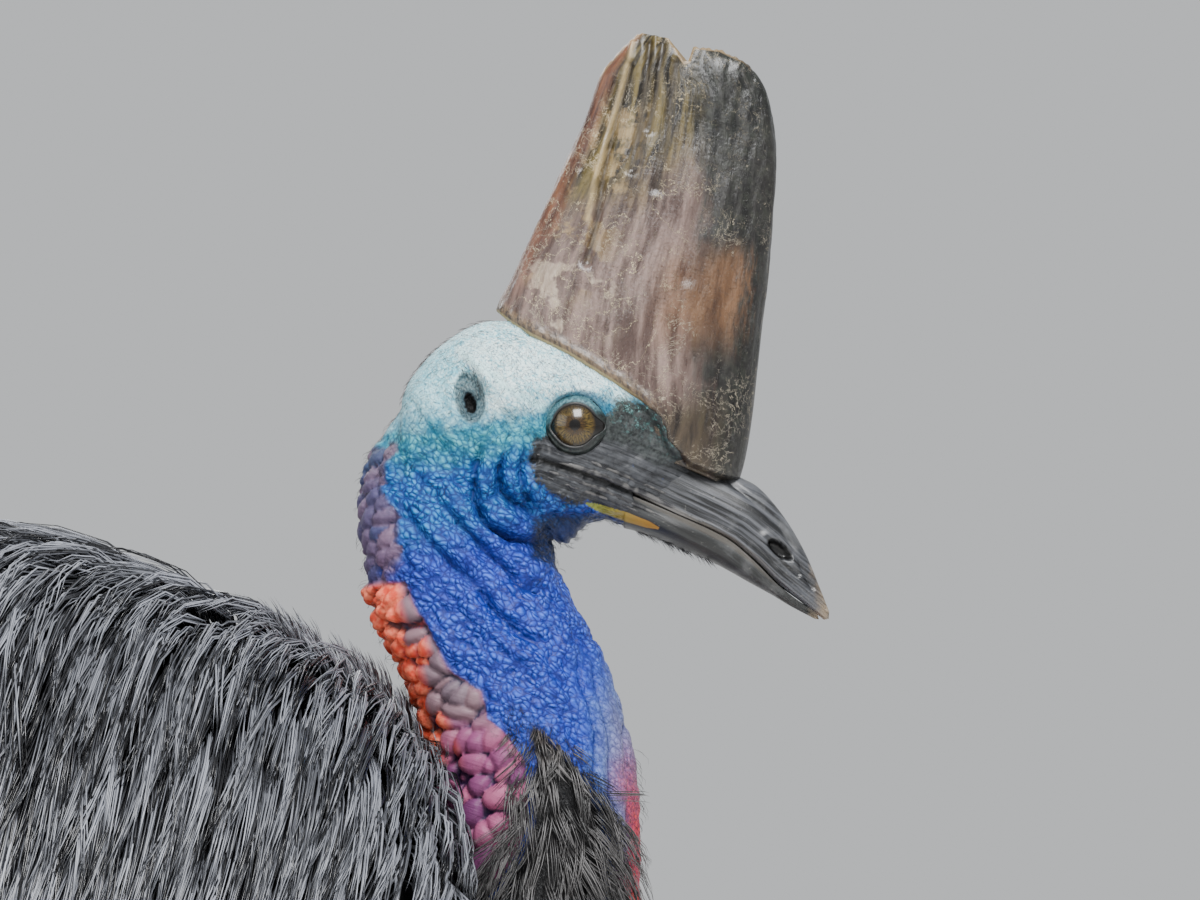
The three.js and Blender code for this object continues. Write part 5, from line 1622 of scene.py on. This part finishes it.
x, y, z = skin_spots.T
crown = (z > -30) & (x < 30) & (np.hypot(x, z) > 16) & (socket < 0.01) & (under < -3)
chin = (pouch > 0.5) & (z < -28)
apex = ((inside(np.stack([x, z], 1), tongue, 4.0) > 0.12) & (z > -158) & (bare > 0.3)
        & (np.abs(skin_normals[:, 1]) > 0.3))
nape_hair = (bulb_zone + braid > 0.5) & (neck_turn > 2.5)
throat = (on_neck > 0.5) & (bare > 0.9) & (neck_turn < 0.6) & (z < -130)
hair_finish = Finish("black hair", Roughness=0.45)
hair_finish.finish(hair_finish.blend(hair_finish.noted("tone"), tint(14, 14, 15), tint(44, 42, 42)))
sets = [bristles("crown", rng, crown, 1400, (-1, 0, -0.8), 3.6, 0.3, 0.17),
        bristles("chin", rng, chin, 260, (0.8, 0, -0.7), 3.4, 0.5, 0.18),
        bristles("apex", rng, apex, 900, (0.1, 0, -1), 5.5, 0.35, 0.2),
        bristles("ear", rng, ear_cup > 0.4, 110, (-0.2, 0, 1), 6.0, 0.35, 0.22),
        bristles("nape", rng, nape_hair, 200, (-0.6, 0, -1), 4.5, 0.5, 0.18),
        bristles("throat", rng, throat, 160, (0.3, 0, -1), 7.5, 0.5, 0.2)]
chin_line = np.array([[24, -44.5], [34, -48.0], [44, -52.0], [54, -56.0]])
fuzz_at = rng.uniform(0, 1, 260)
fuzz_place = route_at(chin_line, fuzz_at)
fuzz_place = np.stack([fuzz_place[:, 0], rng.uniform(-7, 7, 260), fuzz_place[:, 1] + 2.2], 1)
fuzz_way = np.array([0.75, 0.0, -0.65]) + rng.normal(0, 0.22, (260, 3))
far = np.linspace(0, 1, 4)[None, :, None]
fuzz_paths = fuzz_place[:, None] + fuzz_way[:, None] * rng.uniform(3.5, 6.5, 260)[:, None, None] * far
fuzz_side = np.tile([0.0, 1.0, 0.0], (260, 4, 1))
fuzz_wide = rng.uniform(0.12, 0.2, 260)
sets.append((fuzz_paths, fuzz_side, fuzz_wide, fuzz_wide * 0.9, on_skin_map(0.2 + 0.05 * fuzz_at, fuzz_at),
             rng.uniform(0, 1, 260)))
hair_mesh = barbs("bristles", *[np.concatenate([one[i] for one in sets]) for i in range(6)])
piece("bristles", hair_mesh, hair_finish.material, "skin_pale")

# %% [markdown]
# ## Wattles
# Two soft red lobes hang from the front of the neck. They are lofts with creases that run down
# and across them.

# %% Wattle shape and finish
def wattle_relief(spots, normals, share, turn, noted):
    cell = np.stack([share * 22, turn * 2.2 + 0.4 * np.sin(share * 9)], 1)
    near, border, _ = pebbles(cell, 5)
    return spots + normals * (1.1 * np.sqrt(ease(0, 0.6, border)) - 1.0)[:, None]


f = Finish("wattle skin", Roughness=0.5, Specular_IOR_Level=0.4)
colour = f.grain(0.15, 4).tones(0.35, 0.65, (168, 34, 36), (222, 74, 66))
colour = f.blend(f.grain(0.6, 4).between(0.55, 0.75) * 0.5, colour, tint(150, 60, 100))
wattle_finish = f.finish(colour, 0.48, f.grain(1.2, 4), depth=0.0006, strength=0.6)
for name, side in SIDES:
    grid = rolled(Form(WATTLE, side=side * 13), 48, 110, 3, wattle_relief)
    piece("lobe_" + name, as_mesh("lobe", [grid]), wattle_finish, "wattle", "wattle_" + name)

# %% [markdown]
# ## Wings
# A cassowary's wings are stubs with a few bare quills, black and thick as knitting needles, that
# bend back over the coat. Each quill is a rolled grid that tapers along a curved route.

# %% Quills
body_form = Form(TORSO)


f = Finish("quill", Roughness=0.28, Specular_IOR_Level=0.55)
streak = f.grain(0.3, 4, 0.5, place=f.stretched((6, 1, 1), turn=(0, -0.93, 0)))
quill_finish = f.finish(streak.tones(0.35, 0.65, (14, 13, 14), (44, 40, 40)),
                        streak.between(0.3, 0.7, 0.22, 0.4))
for name, side in SIDES:
    grids = []
    for far in np.linspace(0, 1, 4):
        share, turn = np.array([0.372 + 0.02 * far]), np.array([side * (1.22 + 0.1 * far)])
        lean = np.array([[-0.75 + 0.5 * far, 0, -1 + 0.3 * far]])
        route, out = body_form.walk(share, turn, lambda p, s, t: np.repeat(lean, len(s), 0),
                                    265 * (0.8 + 0.2 * math.sin(math.pi * far)), 8)
        raised = np.where(np.arange(9) == 0, -12.0, 7 + 3 * far)[:, None]
        grids.append(tube(route[0] + out[0] * raised, 2.6, 10, 40))
    stub = bmesh.new()
    bmesh.ops.create_uvsphere(stub, u_segments=24, v_segments=14, radius=1)
    bmesh.ops.scale(stub, verts=stub.verts, vec=(34, 13, 22))
    bmesh.ops.translate(stub, verts=stub.verts, vec=(-196, side * 146, -238))
    piece("quills_" + name, as_mesh("quills", grids + [stub]), quill_finish, "quill", "wing_" + name)

# %% [markdown]
# ## Legs
# The shins are covered in scales: broad plates down the front, small pebbles behind. Three toes
# point forward, each with plates on top and a pad below, and the inner one carries a dagger.

# %% Shins
f = Finish("leg scales", Roughness=0.55)
colour = f.grain(0.06, 4).tones(0.35, 0.65, (92, 86, 74), (142, 134, 116))
colour = f.blend(f.noted("gap") * 0.8, colour, tint(44, 40, 36))
colour = f.blend(f.grain(0.7, 4).between(0.5, 0.7) * 0.35, colour, tint(170, 162, 144))
leg_finish = f.finish(colour, f.grain(0.3, 3).between(0.3, 0.7, 0.45, 0.65), f.grain(1.6, 4), depth=0.0006,
                      strength=0.5)


def scaled(form, columns, rows, dome, plate, spread, length, floor=None):
    """A rolled limb with plates across its front and pebbles behind."""
    def relief(spots, normals, share, turn, noted):
        wrapped = np.abs(np.angle(np.exp(1j * turn)))
        plates = ease(spread + 0.25, spread, wrapped)
        place = share * length / plate
        edge = np.abs(place - np.rint(place)) * 2
        slab = np.sqrt(ease(0, 0.35, edge))
        near, border, _ = pebbles(np.stack([share * length / 6.0, turn * 3.4], 1), 2)
        pebble = np.sqrt(ease(0, 0.45, border))
        push = plates * (1.5 * slab - 0.2) + (1 - plates) * (0.8 * pebble - 0.6)
        made = spots + normals * push[:, None]
        if floor is not None:
            made[:, 2] = np.maximum(made[:, 2], floor)
        noted["gap"] = plates * (1 - slab) + (1 - plates) * (1 - pebble)
        return made

    return rolled(form, columns, rows, dome, relief)


for name, side in SIDES:
    foot = EYE + np.array([FOOT_FORWARD[name], side * FOOT_SIDE, -EYE_HEIGHT])
    shin = as_mesh("shin", [scaled(Form(SHANK), 56, 230, 2, 11.5, 0.95, 490, 0.0)])
    piece("shin_" + name, shin, leg_finish, "leg_scale", "shank_" + name, origin=foot)
    for toe, (turn, reach, (claw_long, claw_round)) in TOES.items():
        stations = [[along, -8, along, top, half, 0.4] for along, top, half in reach]
        grid = scaled(Form(stations), 40, 70, 3, 8.5, 0.8, reach[-1][0] - reach[0][0], 0.0)
        swing = Matrix.Rotation(math.radians(side * turn), 3, "Z")
        bmesh.ops.rotate(grid, verts=grid.verts, matrix=swing)
        piece(f"toe_skin_{toe}_{name}", as_mesh("toe", [grid]), leg_finish, "leg_scale",
              f"toe_{toe}_{name}", origin=foot)

# %% Claws
f = Finish("claw horn", Roughness=0.32, Coat_Weight=0.15, Coat_Roughness=0.25)
streak = f.grain(0.6, 4, 0.5, place=f.stretched((8, 1, 1)))
colour = streak.tones(0.35, 0.65, (36, 32, 29), (86, 76, 64))
claw_finish = f.finish(colour, streak.between(0.3, 0.7, 0.26, 0.42), streak, depth=0.0004, strength=0.4)


def claw_stations(end, top, long, radius):
    rows = []
    for far in (-16, 0, 0.25, 0.45, 0.65, 0.8, 0.92, 1):
        slim = 0.8 if far < 0 else max(1 - far, 0.1) ** 0.7
        middle = 0.55 * top + 2 - 6 * max(far, 0) ** 2
        along = end + (far if far < 0 else far * long)
        rows.append([along, max(middle - radius * slim, 0.6), along, middle + radius * slim, radius * slim,
                     0.5])
    return rows


for name, side in SIDES:
    foot = EYE + np.array([FOOT_FORWARD[name], side * FOOT_SIDE, -EYE_HEIGHT])
    for toe, (turn, reach, (claw_long, claw_round)) in TOES.items():
        grid = rolled(Form(claw_stations(reach[-1][0], reach[-1][1], claw_long, claw_round)), 28, 50, 1)
        bmesh.ops.rotate(grid, verts=grid.verts, matrix=Matrix.Rotation(math.radians(side * turn), 3, "Z"))
        piece(f"claw_horn_{toe}_{name}", as_mesh("claw", [grid]), claw_finish, "claw", f"claw_{toe}_{name}",
              origin=foot)

# %% [markdown]
# ## Stage, lights and camera
# The floor is a plain pale disc under a pale sky, with three large soft lamps. The camera stands
# level with the eye at five metres, where the photograph's framing fills its view.

# %% Stage
stage_finish = Finish("pale floor", Roughness=0.8)
stage_finish.finish(stage_finish.blend(stage_finish.grain(0.002, 2), (0.78, 0.77, 0.75, 1),
                                       (0.82, 0.81, 0.79, 1)))
disc = bmesh.new()
bmesh.ops.create_circle(disc, cap_ends=True, segments=96, radius=20)
ground = bpy.data.meshes.new("ground")
disc.to_mesh(ground)
disc.free()
ground.materials.append(stage_finish.material)
placed("ground", ground)

world = bpy.data.worlds.new("sky")
bpy.context.scene.world = world
world.use_nodes = True
world.node_tree.nodes["Background"].inputs["Color"].default_value = (0.80, 0.82, 0.84, 1)
world.node_tree.nodes["Background"].inputs["Strength"].default_value = 0.76
for name, place, size, power in (("key", (0.9, -2.4, 3.4), 1.5, 230), ("fill", (-2.6, -2.4, 2.0), 2.6, 50),
                                 ("rim", (-0.6, 3.0, 2.8), 2.0, 70)):
    lamp = bpy.data.lights.new(name, "AREA")
    lamp.energy, lamp.size = power, size
    shining = placed(name, lamp)
    shining.location = place
    shining.rotation_euler = (Vector(EYE / 1000) - Vector(place)).to_track_quat("-Z", "Y").to_euler()

# %% Camera
lens = bpy.data.cameras.new("view")
lens.sensor_width, lens.lens = 36, 36 * 5.0 / 0.490
lens.clip_start, lens.clip_end = 0.5, 60
camera = placed("view", lens)
camera.location = ((EYE[0] + 10.2) / 1000, EYE[1] / 1000 - 5.0, (EYE[2] - 10.2) / 1000)
camera.rotation_euler = (math.pi / 2, 0, 0)
bpy.context.scene.camera = camera
print("camera looks at", [round(c, 3) for c in camera.location])
